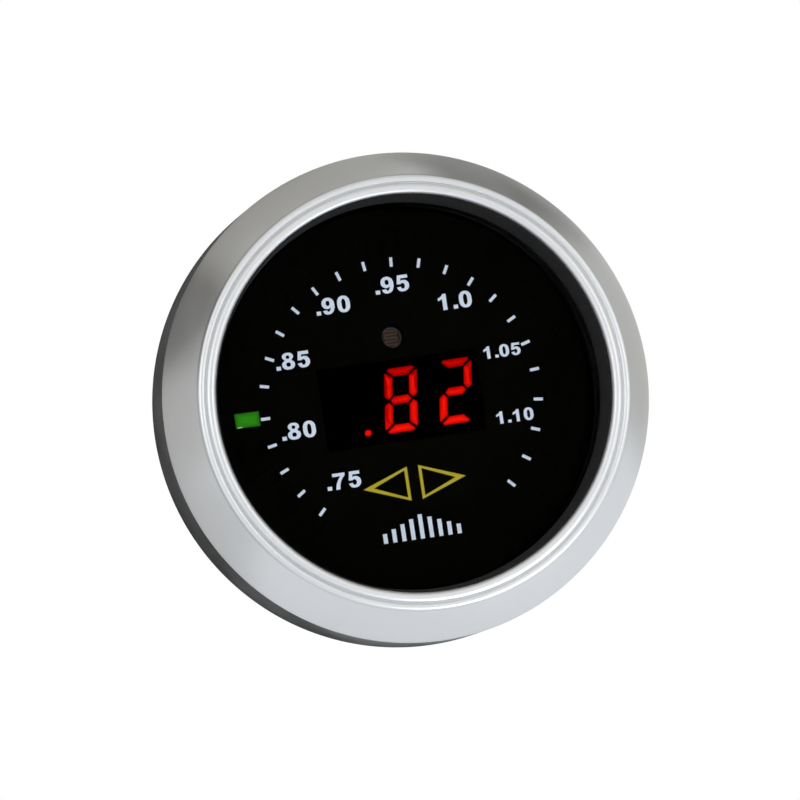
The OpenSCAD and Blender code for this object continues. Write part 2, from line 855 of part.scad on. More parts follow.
// A thumb nut with a plain collar and a fluted rim
module thumb_nut(side) {
    collar_h = 1.2;
    collar_in = 1.1;
    nut_r = nut_d / 2;
    chamfer = 0.4;
    rear_z = nut_front_z - nut_h;
    bore = stud_d / 2 + turning_fit;
    profile = [[bore, nut_front_z], [nut_r - collar_in, nut_front_z],
               [nut_r - collar_in, nut_front_z - collar_h], [nut_r - chamfer, nut_front_z - collar_h],
               [nut_r, nut_front_z - collar_h - chamfer], [nut_r, rear_z + chamfer],
               [nut_r - chamfer, rear_z], [bore, rear_z]];
    color("#c9ab62") stand_up() translate([0, side * stud_y, 0]) difference() {
        rotate_extrude() polygon(profile);
        for (i = [0:flute_count - 1]) rotate([0, 0, i * 360 / flute_count])
            translate([nut_r + flute_r / 2, 0, 0])
                disc(flute_r, rear_z - overrun, nut_front_z - collar_h + overrun);
    }
}

module upper_nut() {
    thumb_nut(1);
}

module lower_nut() {
    thumb_nut(-1);
}

housing();
rear_cover();
cover_screws();
mounting_studs();
bezel();
bezel_liner();
lens();
lens_gasket();
dial_spacer();
dial_plate();
light_baffle();
light_windows();
light_emitters();
display_module();
digit_segments();
display_filter();
light_sensor();
display_board();
driver_chips();
board_standoffs();
board_screws();
board_link();
control_board();
processor_chip();
sensor_chip();
crystal();
voltage_regulator();
supply_capacitors();
supply_inductor();
power_socket();
power_pins();
sensor_socket();
sensor_pins();
switch_body();
switch_rotor();
bracket();
lock_washers();
upper_nut();
lower_nut();
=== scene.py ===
"""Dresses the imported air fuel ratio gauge: the bezel, the dial's print, the lit display and
window, the studs, the finish of every piece, and the studio that shows it from the photograph's
angle.

The gauge is drawn face up, with +Z towards the driver, and show() then turns each mesh so that
the dial looks along -Y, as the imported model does. Lengths are in metres."""

import math

import bmesh
import bpy
from mathutils import Matrix, Vector


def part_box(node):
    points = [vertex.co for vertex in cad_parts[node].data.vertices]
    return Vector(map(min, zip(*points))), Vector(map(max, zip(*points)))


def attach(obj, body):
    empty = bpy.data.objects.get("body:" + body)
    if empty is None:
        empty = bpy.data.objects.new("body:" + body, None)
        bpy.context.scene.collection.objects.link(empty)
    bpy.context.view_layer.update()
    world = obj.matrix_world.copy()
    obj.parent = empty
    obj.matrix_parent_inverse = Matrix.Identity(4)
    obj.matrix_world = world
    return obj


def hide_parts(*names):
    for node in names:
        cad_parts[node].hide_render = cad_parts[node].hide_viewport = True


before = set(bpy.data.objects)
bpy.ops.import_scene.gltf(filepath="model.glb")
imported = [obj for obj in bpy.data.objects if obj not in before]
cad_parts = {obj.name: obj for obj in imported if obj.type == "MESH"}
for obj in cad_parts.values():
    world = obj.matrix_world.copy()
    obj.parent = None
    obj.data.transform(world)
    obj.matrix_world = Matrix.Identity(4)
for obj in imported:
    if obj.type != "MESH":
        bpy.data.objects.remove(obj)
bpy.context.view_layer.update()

bl_info = {
    "name": "Air fuel ratio gauge",
    "version": (1, 0, 0),
    "blender": (4, 5, 0),
    "location": "View3D > Sidebar > Gauge",
    "description": "A round panel gauge with a satin bezel, a printed dial and a digit display",
    "category": "Add Mesh",
}

MM = 0.001
STAND = Matrix.Rotation(math.radians(90), 4, "X")


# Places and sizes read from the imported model

def low_z(node):
    """The rear of a node, as a height in the face-up drawing."""
    return -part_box(node)[1].y


def high_z(node):
    """The front of a node, as a height in the face-up drawing."""
    return -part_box(node)[0].y


def outer_r(node):
    """The largest radius of a node that is round about the gauge's axis."""
    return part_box(node)[1].x


# Sizes and colours that a user would change

def length(default_mm, name, description):
    return bpy.props.FloatProperty(name=name, description=description, default=default_mm * MM,
                                   min=0, unit="LENGTH", subtype="DISTANCE", precision=5)


def angle(default_deg, name, description):
    return bpy.props.FloatProperty(name=name, description=description,
                                   default=math.radians(default_deg), subtype="ANGLE")


def number(default, name, description):
    return bpy.props.FloatProperty(name=name, description=description, default=default)


def whole(default, name, description):
    return bpy.props.IntProperty(name=name, description=description, default=default, min=1)


def linear(hex_text):
    """An sRGB hex value such as #c8c9ca, as linear red, green, blue and alpha."""
    parts = [int(hex_text[i:i + 2], 16) / 255 for i in (1, 3, 5)]
    return tuple(p / 12.92 if p <= 0.04045 else ((p + 0.055) / 1.055) ** 2.4 for p in parts) + (1,)


def colour(hex_text, name, description):
    return bpy.props.FloatVectorProperty(name=name, description=description, subtype="COLOR",
                                         size=4, min=0, max=1, default=linear(hex_text))


class GaugeBezelSizes(bpy.types.PropertyGroup):
    face_w: length(3.5, "Face width", "Width of the sloping face, seen from the front")
    face_rise: length(7, "Face rise", "Rise of the sloping face above the skirt")
    face_crown: length(0.18, "Face crown", "How far the sloping face bulges")
    edge_r: length(0.5, "Edge radius", "Radius between the skirt and the face")
    skirt_h: length(10.8, "Skirt height", "Height of the straight skirt")
    bezel_wall: length(2.25, "Thread wall", "Wall of the bezel round its thread")
    lens_lap: length(0.75, "Lens lap", "How far the bezel's ledge laps over the lens")
    paint: colour("#d5d6d7", "Paint", "Silver paint")


class GaugePrintSizes(bpy.types.PropertyGroup):
    ink_t: length(0.02, "Ink thickness", "How far the print stands on the dial")
    tick_l: length(1.15, "Tick length", "Length of a tick")
    tick_w: length(0.37, "Tick width", "Width of a tick")
    tick_ring_r: length(16.95, "Tick circle", "Radius of the circle through the ticks")
    figure_h: length(2.0, "Figure height", "Height of the dial's numbers")
    small_figure_h: length(1.52, "Small figure height", "Height of the numbers past 1.0")
    first_tick: angle(226.3, "First tick", "Angle of the first tick, anticlockwise from the right")
    tick_step: angle(11.56, "Tick step", "Angle from one tick to the next")
    gap_after: whole(5, "Gap after", "The tick that a wider gap follows")
    gap: angle(1.8, "Gap", "How much wider that gap is")
    wide_after: whole(20, "Wide after", "The tick after which each step is wider")
    wide: angle(0.95, "Wide", "How much wider each step is there")
    print_shift: length(0.1, "Print shift", "How far the ticks are printed to the left")
    tick_count: whole(24, "Ticks", "Number of ticks")
    white_ink: colour("#dfe7f8", "White ink", "Print of the ticks and numbers")
    yellow_ink: colour("#c8b41e", "Yellow ink", "Print of the wedges under the display")


class GaugeDisplaySizes(bpy.types.PropertyGroup):
    digit_h: length(7.9, "Digit height", "Height of a digit")
    digit_w: length(4.1, "Digit width", "Width of a digit")
    digit_pitch: length(6.85, "Digit pitch", "Distance from digit to digit")
    segment_w: length(1.0, "Segment width", "Width of a segment")
    segment_gap: length(0.17, "Segment gap", "Gap between two segments")
    lean: angle(8, "Lean", "Lean of the digits to the right")
    skew: angle(0.8, "Skew", "How far the display is turned anticlockwise on its board")
    lift: length(0.08, "Lift", "How far the digits sit above the display's middle")
    point_ahead: length(2.65, "Decimal point", "From a digit's middle to its decimal point")
    first_window: angle(226.5, "First window", "Angle of the first light window")
    window_step: angle(11.74, "Window step", "Angle from one light window to the next")
    lit_window: whole(5, "Lit window", "Which light window is lit, counted clockwise")
    red: colour("#ff2a16", "Red", "Light in the middle of a segment")
    red_rim: colour("#a80500", "Deep red", "Light at the rim of a segment")
    green: colour("#268c00", "Green", "Light of the lit window")
    green_rim: colour("#185e02", "Deep green", "Light at the rim of the lit window")


class GaugeStudSizes(bpy.types.PropertyGroup):
    pitch: length(0.7, "Pitch", "Pitch of a stud's thread")
    stud_r: length(2, "Stud radius", "Radius over a stud's thread")
    head_r: length(3.5, "Head radius", "Radius of a stud's head inside the housing")
    cover_t: length(2, "Cover thickness", "Thickness of the rear cover")


class GaugeStudioSizes(bpy.types.PropertyGroup):
    distance: length(1000, "Distance", "From the camera to the dial")
    tilt: angle(9.5, "Tilt", "Angle between the dial's normal and the line of sight")
    tilt_towards: angle(29.5, "Tilt direction", "Where the normal leans in the picture")
    roll: angle(7.95, "Roll", "How far the dial leans anticlockwise in the picture")
    aside: length(0.18, "Aside", "How far the dial's centre sits right of the picture's")
    focal: number(367.7, "Focal length", "Focal length on a 36 mm sensor, in millimetres")


# Nodes and materials

def add(tree, kind, inputs=None, **settings):
    """Adds a node with its settings. An input is a value, a socket to link from, or a node, which
    stands for its first output."""
    made = tree.nodes.new(kind)
    for key, value in settings.items():
        setattr(made, key, value)
    for key, value in (inputs or {}).items():
        if isinstance(value, bpy.types.Node):
            value = value.outputs[0]
        if isinstance(value, bpy.types.NodeSocket):
            tree.links.new(value, made.inputs[key])
        else:
            made.inputs[key].default_value = value
    return made


def principled(name, **values):
    """A new material, its node tree and its shader. A value's name is the socket's, with _ for
    each space."""
    made = bpy.data.materials.new(name)
    made.use_nodes = True
    tree = made.node_tree
    shader = tree.nodes["Principled BSDF"]
    for key, value in values.items():
        shader.inputs[key.replace("_", " ")].default_value = value
    return made, tree, shader


def grain(tree, size):
    """Noise on Object coordinates whose grains are about size across."""
    where = add(tree, "ShaderNodeTexCoord").outputs["Object"]
    return add(tree, "ShaderNodeTexNoise", {"Vector": where, "Scale": 1 / size})


def spread(tree, source, low, high):
    """Stretches a noise's middle range to run from low to high."""
    return add(tree, "ShaderNodeMapRange", {"Value": source, "From Min": 0.3, "From Max": 0.7,
                                            "To Min": low, "To Max": high})


def roughen(tree, shader, source, low, high):
    """Lets a noise vary the roughness from low to high."""
    tree.links.new(spread(tree, source, low, high).outputs[0], shader.inputs["Roughness"])


def emboss(tree, shader, source, depth, strength=1.0):
    """Bumps a surface by depth where source goes from 0 to 1."""
    bump = add(tree, "ShaderNodeBump", {"Height": source, "Strength": strength, "Distance": depth})
    tree.links.new(bump.outputs[0], shader.inputs["Normal"])


def from_axis(tree):
    """Distance from the gauge's axis."""
    where = add(tree, "ShaderNodeTexCoord").outputs["Object"]
    flat = add(tree, "ShaderNodeVectorMath", {0: where, 1: (1, 0, 1)}, operation="MULTIPLY")
    return add(tree, "ShaderNodeVectorMath", {0: flat}, operation="LENGTH").outputs["Value"]


def silver_lacquer(paint, beads_r):
    """Silver lacquer sprayed on a moulded ring: fine flakes in a satin coat, which gives a soft
    broad highlight and a faint sparkle. It pools on the beads, inside beads_r, which are duller.
    Real flakes are about 0.03 mm across and are drawn larger, so that they show."""
    made, tree, shader = principled("sprayed_silver_lacquer", Metallic=1.0, Base_Color=paint)
    flake, cloud, blend, dulling = 0.22 * MM, 6 * MM, 0.2 * MM, 0.1
    gloss = spread(tree, grain(tree, cloud), 0.3, 0.36)
    pooled = add(tree, "ShaderNodeMapRange", {
        "Value": from_axis(tree), "From Min": beads_r - blend, "From Max": beads_r + blend,
        "To Min": dulling, "To Max": 0.0})
    dulled = add(tree, "ShaderNodeMath", {0: gloss, 1: pooled}, operation="ADD")
    tree.links.new(dulled.outputs[0], shader.inputs["Roughness"])
    emboss(tree, shader, grain(tree, flake), 0.008 * MM, 0.6)
    return made


def matt_black(name, hex_text, rough=0.7, grain_mm=0.25):
    """Moulded black plastic with a spark-eroded grain: dull, with a soft sheen. The grain is drawn
    coarser than a real one, so that it shows."""
    made, tree, shader = principled(name, Base_Color=linear(hex_text))
    texture, vary, depth = grain(tree, grain_mm * MM), 0.08, 0.01 * MM
    roughen(tree, shader, texture, rough - vary, rough + vary)
    emboss(tree, shader, texture, depth, 0.6)
    return made


def threaded(made, thread_r):
    """Cuts the bezel's thread in relief on the housing's collar, at thread_r from the axis."""
    tree = made.node_tree
    pitch, depth, band = 1.5 * MM, 0.4 * MM, 0.12 * MM
    rear, front = 1.9 * MM, high_z("housing") - 0.3 * MM
    where = add(tree, "ShaderNodeTexCoord").outputs["Object"]
    axes = add(tree, "ShaderNodeSeparateXYZ", {0: where}).outputs
    bearing = add(tree, "ShaderNodeMath", {0: axes["X"], 1: axes["Z"]}, operation="ARCTAN2")
    turns = add(tree, "ShaderNodeMath", {0: bearing, 1: 2 * math.pi}, operation="DIVIDE")
    pitches = add(tree, "ShaderNodeMath", {0: axes["Y"], 1: pitch}, operation="DIVIDE")
    phase = add(tree, "ShaderNodeMath", {0: pitches, 1: turns}, operation="SUBTRACT")
    ridge = add(tree, "ShaderNodeMath", {0: phase, 1: 0.5}, operation="PINGPONG")
    on_collar = add(tree, "ShaderNodeMath", {0: from_axis(tree), 1: thread_r, 2: band},
                    operation="COMPARE")
    on_thread = add(tree, "ShaderNodeMath", {0: axes["Y"], 1: -(rear + front) / 2,
                                             2: (front - rear) / 2}, operation="COMPARE")
    inside = add(tree, "ShaderNodeMath", {0: on_collar, 1: on_thread}, operation="MULTIPLY")
    relief = add(tree, "ShaderNodeMath", {0: ridge, 1: inside}, operation="MULTIPLY")
    emboss(tree, tree.nodes["Principled BSDF"], relief, depth)
    return made


def dull_black(name, hex_text, gloss=0.0):
    """Matt black print or plastic: it gives back almost no light, as it must behind the lens."""
    made, tree, shader = principled(name, Base_Color=linear(hex_text), Specular_IOR_Level=gloss)
    roughen(tree, shader, grain(tree, 0.3 * MM), 0.75, 0.9)
    return made


def acrylic(name, hex_text, ior, rough):
    """Polished acrylic: it shows what is behind it, with a faint mirror image at its faces."""
    return principled(name, Base_Color=linear(hex_text), IOR=ior, Transmission_Weight=1.0,
                      Roughness=rough)[0]


def backlit_ink_with_painted_light(name, base, glow):
    """Screen-printed ink that gives off a little light of its own colour: partly the dial's
    backlight, partly painted light in place of the lamp light that the glass lens keeps off the
    print.
    """
    return principled(name, Base_Color=base, Roughness=0.55, Emission_Color=base,
                      Emission_Strength=glow)[0]


def painted_glint(name, base, strength):
    """A painted glint on the cut edge of the lit acrylic window: it gives off light of the given
    colour and is all but flat.
    """
    body_share = 0.3    # the plastic itself is darker than its light
    body = tuple(c * body_share for c in base[:3]) + (1,)
    return principled(name, Base_Color=body, Roughness=0.35, Emission_Color=base,
                      Emission_Strength=strength)[0]


def lit_face(name, hot, cool, strength):
    """A lit face of tinted epoxy or acrylic: brightest in its middle, deeper at its rim."""
    made, tree, shader = principled(name, Roughness=0.4, Specular_IOR_Level=0.1,
                                    Base_Color=linear("#191919"), Emission_Strength=strength)
    colour_a, colour_b, colour_out = 6, 7, 2    # the colour sockets of a Mix node
    core = add(tree, "ShaderNodeAttribute", attribute_name="core")
    mix = add(tree, "ShaderNodeMix", {"Factor": core.outputs["Fac"], colour_a: cool,
                                      colour_b: hot}, data_type="RGBA")
    tree.links.new(mix.outputs[colour_out], shader.inputs["Emission Color"])
    return made


def plain(name, hex_text, rough, metal=0.0, grain_mm=0.4, depth_mm=0.003):
    """A plain finish with slight mottling in its gloss."""
    made, tree, shader = principled(name, Base_Color=linear(hex_text), Metallic=metal)
    texture, vary = grain(tree, grain_mm * MM), 0.06
    roughen(tree, shader, texture, max(rough - vary, 0.02), rough + vary)
    emboss(tree, shader, texture, depth_mm * MM, 0.4)
    return made


# Making meshes

def show(mesh, name, material, stand=True):
    """Links a face-up mesh as an object, turned upright if it is to stand, with one material."""
    if stand:
        mesh.transform(STAND)
    mesh.materials.clear()
    mesh.materials.append(material)
    made = bpy.data.objects.new(name, mesh)
    bpy.context.scene.collection.objects.link(made)
    return made


def soften(mesh):
    """Shades a mesh smooth and keeps its sharp edges."""
    sharp = math.radians(32)
    work = bmesh.new()
    work.from_mesh(mesh)
    for face in work.faces:
        face.smooth = True
    for edge in work.edges:
        edge.smooth = len(edge.link_faces) == 2 and edge.calc_face_angle(0) < sharp
    work.to_mesh(mesh)
    work.free()


def kept(name, work):
    """A worked shape as a new mesh."""
    mesh = bpy.data.meshes.new(name)
    work.to_mesh(mesh)
    work.free()
    return mesh


def arc(centre, radius, start, end, steps):
    """Points along an arc, from start to end in degrees."""
    turns = [math.radians(start + (end - start) * i / steps) for i in range(steps + 1)]
    return [(centre[0] + radius * math.cos(t), centre[1] + radius * math.sin(t)) for t in turns]


def circle(centre, radius, sides):
    """The corners of a round outline."""
    return arc(centre, radius, 0, 360 - 360 / sides, sides - 1)


def turned(name, profile, steps, closed):
    """The face-up mesh of a profile of (radius, height) points, turned about the gauge's axis."""
    work = bmesh.new()
    rings = []
    for radius, height in profile:
        count = steps if radius else 1
        rings.append([work.verts.new((radius * math.cos(2 * math.pi * i / steps),
                                      radius * math.sin(2 * math.pi * i / steps), height))
                      for i in range(count)])
    for first, second in zip(rings, rings[1:] + rings[:1] if closed else rings[1:]):
        for i in range(steps):
            j = (i + 1) % steps
            corners = [first[i % len(first)], first[j % len(first)],
                       second[j % len(second)], second[i % len(second)]]
            corners = [c for n, c in enumerate(corners) if c not in corners[:n]]
            if len(corners) > 2:
                work.faces.new(corners)
    bmesh.ops.recalc_face_normals(work, faces=work.faces)
    return kept(name, work)


def lathe(name, profile, material, closed=True):
    """A turned profile as a smooth object."""
    facets = 256
    mesh = turned(name, profile, facets, closed)
    soften(mesh)
    return show(mesh, name, material)


def result(holder):
    """What an object's curve or nodes come to, as a plain mesh."""
    return bpy.data.meshes.new_from_object(holder.evaluated_get(
        bpy.context.evaluated_depsgraph_get()))


def plain_mesh(name, drawn):
    """The mesh of a curve, by way of an object that is removed."""
    holder = bpy.data.objects.new(name, drawn)
    bpy.context.scene.collection.objects.link(holder)
    mesh = result(holder)
    bpy.data.objects.remove(holder)
    return mesh


def flat_shapes(name, outlines, low, high, material):
    """Fills closed outlines, of which one inside another is a hole, and gives them thickness."""
    drawn = bpy.data.curves.new(name, "CURVE")
    drawn.dimensions = "2D"
    drawn.fill_mode = "BOTH"
    drawn.extrude = (high - low) / 2
    for outline in outlines:
        spline = drawn.splines.new("POLY")
        spline.points.add(len(outline) - 1)
        for point, (x, y) in zip(spline.points, outline):
            point.co = (x, y, 0, 1)
        spline.use_cyclic_u = True
    mesh = plain_mesh(name, drawn)
    mesh.transform(Matrix.Translation((0, 0, (low + high) / 2)))
    return show(mesh, name, material)


SMOOTH, CORNER = "AUTO", "VECTOR"    # kinds of curve handle
FIGURE_ADVANCE, POINT_ADVANCE, FIGURE_STRETCH = 0.8, 0.34, 1.19


def egg(x, y, half_w, half_h):
    """A squarish ellipse as eight smooth points."""
    k = 0.745   # a round ellipse would have 0.707
    turns = ((1, 0), (k, k), (0, 1), (-k, k), (-1, 0), (-k, -k), (0, -1), (k, -k))
    return [(x + half_w * c, y + half_h * d) for c, d in turns]


# Outlines of the figures, one unit high, as x and y, with a word where the point is a corner
FIGURE_SHAPES = {
    ".": [[(0.02, 0, CORNER), (0.25, 0, CORNER), (0.25, 0.24, CORNER), (0.02, 0.24, CORNER)]],
    "0": [egg(0.335, 0.5, 0.33, 0.515), egg(0.335, 0.5, 0.105, 0.335)],
    "1": [[(0.27, 0, CORNER), (0.49, 0, CORNER), (0.49, 1, CORNER), (0.32, 1, CORNER),
           (0.24, 0.87), (0.05, 0.76, CORNER), (0.05, 0.58, CORNER), (0.27, 0.69, CORNER)]],
    "5": [[(0.09, 1, CORNER), (0.62, 1, CORNER), (0.62, 0.8, CORNER), (0.25, 0.8, CORNER),
           (0.225, 0.65, CORNER), (0.37, 0.685), (0.56, 0.6), (0.655, 0.35), (0.56, 0.09),
           (0.32, -0.015), (0.11, 0.06), (0.0, 0.26, CORNER), (0.215, 0.295, CORNER),
           (0.25, 0.19), (0.33, 0.155), (0.43, 0.33), (0.33, 0.5), (0.2, 0.44, CORNER),
           (0.02, 0.465, CORNER)]],
    "7": [[(0, 1, CORNER), (0.655, 1, CORNER), (0.655, 0.85, CORNER), (0.45, 0.54),
           (0.36, 0.25), (0.335, 0, CORNER), (0.115, 0, CORNER), (0.16, 0.28), (0.27, 0.56),
           (0.42, 0.8, CORNER), (0, 0.8, CORNER)]],
    "8": [[(0.33, 1.015), (0.54, 0.95), (0.625, 0.745), (0.52, 0.54), (0.62, 0.45),
           (0.665, 0.28), (0.57, 0.06), (0.33, -0.015), (0.09, 0.06), (-0.005, 0.28),
           (0.04, 0.45), (0.14, 0.54), (0.035, 0.745), (0.12, 0.95)],
          egg(0.33, 0.745, 0.095, 0.105), egg(0.33, 0.29, 0.115, 0.13)],
    "9": [[(0.02, 0.235, CORNER), (0.11, 0.05), (0.29, -0.015), (0.5, 0.06), (0.62, 0.27),
           (0.655, 0.53), (0.6, 0.83), (0.47, 0.97), (0.3, 1.015), (0.09, 0.92),
           (-0.005, 0.67), (0.08, 0.42), (0.27, 0.325), (0.38, 0.35), (0.445, 0.41, CORNER),
           (0.405, 0.24), (0.3, 0.15), (0.235, 0.255, CORNER)], egg(0.315, 0.67, 0.1, 0.16)]}


def written(text, centre, height):
    """A number as a flat mesh, centred, with its figures of the given height."""
    drawn = bpy.data.curves.new("figures", "CURVE")
    drawn.dimensions = "2D"
    drawn.fill_mode = "BOTH"
    drawn.resolution_u = 6
    at = 0
    for letter in text:
        for outline in FIGURE_SHAPES[letter]:
            spline = drawn.splines.new("BEZIER")
            spline.bezier_points.add(len(outline) - 1)
            for point, (x, y, *kind) in zip(spline.bezier_points, outline):
                point.co = (at + x * FIGURE_STRETCH, y, 0)
                point.handle_left_type = point.handle_right_type = kind[0] if kind else SMOOTH
            spline.use_cyclic_u = True
        at += (POINT_ADVANCE if letter == "." else FIGURE_ADVANCE) * FIGURE_STRETCH
    mesh = plain_mesh("figures", drawn)
    xs = [v.co.x for v in mesh.vertices]
    middle = Vector(((max(xs) + min(xs)) / 2, 0.5, 0))
    mesh.transform(Matrix.Translation((*centre, 0)) @ Matrix.Scale(height, 4)
                   @ Matrix.Translation(-middle))
    return mesh


def joined(name, meshes, material, low, high):
    """Joins flat meshes into one and gives them thickness."""
    work = bmesh.new()
    for mesh in meshes:
        work.from_mesh(mesh)
    bmesh.ops.remove_doubles(work, verts=work.verts, dist=1e-8)
    for vert in work.verts:
        vert.co.z = high
    flat = list(work.faces)
    bmesh.ops.recalc_face_normals(work, faces=flat)
    for face in flat:
        if face.normal.z < 0:
            face.normal_flip()
    wall = bmesh.ops.extrude_face_region(work, geom=flat)
    for item in wall["geom"]:
        if isinstance(item, bmesh.types.BMVert):
            item.co.z = low
    bmesh.ops.recalc_face_normals(work, faces=work.faces)
    return show(kept(name, work), name, material)


# Geometry Nodes

def new_tree(name, inputs):
    """A node tree with named inputs of each kind, and its two end nodes."""
    tree = bpy.data.node_groups.new(name, "GeometryNodeTree")
    for kind, labels in inputs.items():
        for label in labels:
            tree.interface.new_socket(label, in_out="INPUT", socket_type="NodeSocket" + kind)
    tree.interface.new_socket("Geometry", in_out="OUTPUT", socket_type="NodeSocketGeometry")
    return tree, add(tree, "NodeGroupInput"), add(tree, "NodeGroupOutput")


def grown(name, tree, values):
    """Runs a node tree and keeps its result as a plain mesh."""
    holder = bpy.data.objects.new(name, bpy.data.meshes.new(name + "_start"))
    bpy.context.scene.collection.objects.link(holder)
    modifier = holder.modifiers.new("grow", "NODES")
    modifier.node_group = tree
    for item in tree.interface.items_tree:
        if item.item_type == "SOCKET" and item.in_out == "INPUT" and item.name in values:
            modifier[item.identifier] = values[item.name]
    bpy.context.view_layer.update()
    mesh = result(holder)
    holder.modifiers.remove(modifier)
    holder.data = mesh
    return holder


def finish_tree(tree, group_in, group_out, geometry):
    """Ends a tree: instances made real, turned upright, with the material set."""
    real = add(tree, "GeometryNodeRealizeInstances", {"Geometry": geometry})
    upright = add(tree, "GeometryNodeTransform", {"Geometry": real,
                                                  "Rotation": (math.radians(90), 0, 0)})
    coated = add(tree, "GeometryNodeSetMaterial", {"Geometry": upright,
                                                   "Material": group_in.outputs["Material"]})
    tree.links.new(coated.outputs[0], group_out.inputs["Geometry"])


def slab_row_tree():
    """Round-ended slabs in a row round an arc, each along its radius. One gap in the row is wider,
    and so are the steps near its end."""
    tree, group_in, group_out = new_tree("slab_row", {
        "Int": ("Count", "Gap After", "Wide After"),
        "Float": ("Ring Radius", "First", "Step", "Gap", "Wide", "Length", "Width", "Round",
                  "Thickness", "Height"),
        "Vector": ("Shift",), "Material": ("Material",)})
    take = group_in.outputs
    index = add(tree, "GeometryNodeInputIndex")
    ordinal = add(tree, "ShaderNodeMath", {0: index, 1: 1.0}, operation="ADD")
    past_gap = add(tree, "ShaderNodeMath", {0: ordinal, 1: take["Gap After"]},
                   operation="GREATER_THAN")
    gap = add(tree, "ShaderNodeMath", {0: past_gap, 1: take["Gap"]}, operation="MULTIPLY")
    past_even = add(tree, "ShaderNodeMath", {0: ordinal, 1: take["Wide After"]},
                    operation="SUBTRACT")
    wide_steps = add(tree, "ShaderNodeMath", {0: past_even, 1: 0.0}, operation="MAXIMUM")
    lag = add(tree, "ShaderNodeMath", {0: wide_steps, 1: take["Wide"], 2: gap},
              operation="MULTIPLY_ADD")
    along = add(tree, "ShaderNodeMath", {0: index, 1: take["Step"], 2: lag},
                operation="MULTIPLY_ADD")
    turn = add(tree, "ShaderNodeMath", {0: take["First"], 1: along}, operation="SUBTRACT")
    x, y = (add(tree, "ShaderNodeMath",
                {0: add(tree, "ShaderNodeMath", {0: turn}, operation=wave),
                 1: take["Ring Radius"]}, operation="MULTIPLY") for wave in ("COSINE", "SINE"))
    at = add(tree, "ShaderNodeCombineXYZ", {"X": x, "Y": y, "Z": take["Height"]})
    points = add(tree, "GeometryNodePoints", {"Count": take["Count"], "Position": at})
    outline = add(tree, "GeometryNodeCurvePrimitiveQuadrilateral",
                  {"Width": take["Length"], "Height": take["Width"]})
    rounded = add(tree, "GeometryNodeFilletCurve",
                  {"Curve": outline, "Radius": take["Round"], "Count": 5}, mode="POLY")
    sheet = add(tree, "GeometryNodeFillCurve", {"Curve": rounded})
    top = add(tree, "GeometryNodeExtrudeMesh", {"Mesh": sheet, "Offset Scale": take["Thickness"]})
    bottom = add(tree, "GeometryNodeFlipFaces", {"Mesh": sheet})
    both = add(tree, "GeometryNodeJoinGeometry")
    for half in (top, bottom):
        tree.links.new(half.outputs[0], both.inputs[0])
    slab = add(tree, "GeometryNodeMergeByDistance", {"Geometry": both, "Distance": 1e-7})
    facing = add(tree, "ShaderNodeCombineXYZ", {"Z": turn})
    row = add(tree, "GeometryNodeInstanceOnPoints",
              {"Points": points, "Instance": slab, "Rotation": facing})
    shifted = add(tree, "GeometryNodeTransform", {"Geometry": row, "Translation": take["Shift"]})
    finish_tree(tree, group_in, group_out, shifted)
    return tree


def thread_tree():
    """A thread's ridge: a diamond section swept along a helix about the face-up axis."""
    tree, group_in, group_out = new_tree("thread", {
        "Float": ("Turns", "Helix Radius", "Height", "Ridge"), "Vector": ("Start",),
        "Material": ("Material",)})
    take = group_in.outputs
    helix = add(tree, "GeometryNodeCurveSpiral",
                {"Resolution": 28, "Rotations": take["Turns"], "Height": take["Height"],
                 "Start Radius": take["Helix Radius"], "End Radius": take["Helix Radius"]})
    section = add(tree, "GeometryNodeCurvePrimitiveCircle",
                  {"Resolution": 4, "Radius": take["Ridge"]})
    ridge = add(tree, "GeometryNodeCurveToMesh",
                {"Curve": helix, "Profile Curve": section, "Fill Caps": True})
    moved = add(tree, "GeometryNodeTransform", {"Geometry": ridge, "Translation": take["Start"]})
    finish_tree(tree, group_in, group_out, moved)
    return tree


# The pieces

def place(piece, body, slot, *replaced):
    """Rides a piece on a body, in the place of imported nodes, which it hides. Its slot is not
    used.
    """
    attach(piece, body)
    if replaced:
        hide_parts(*replaced)


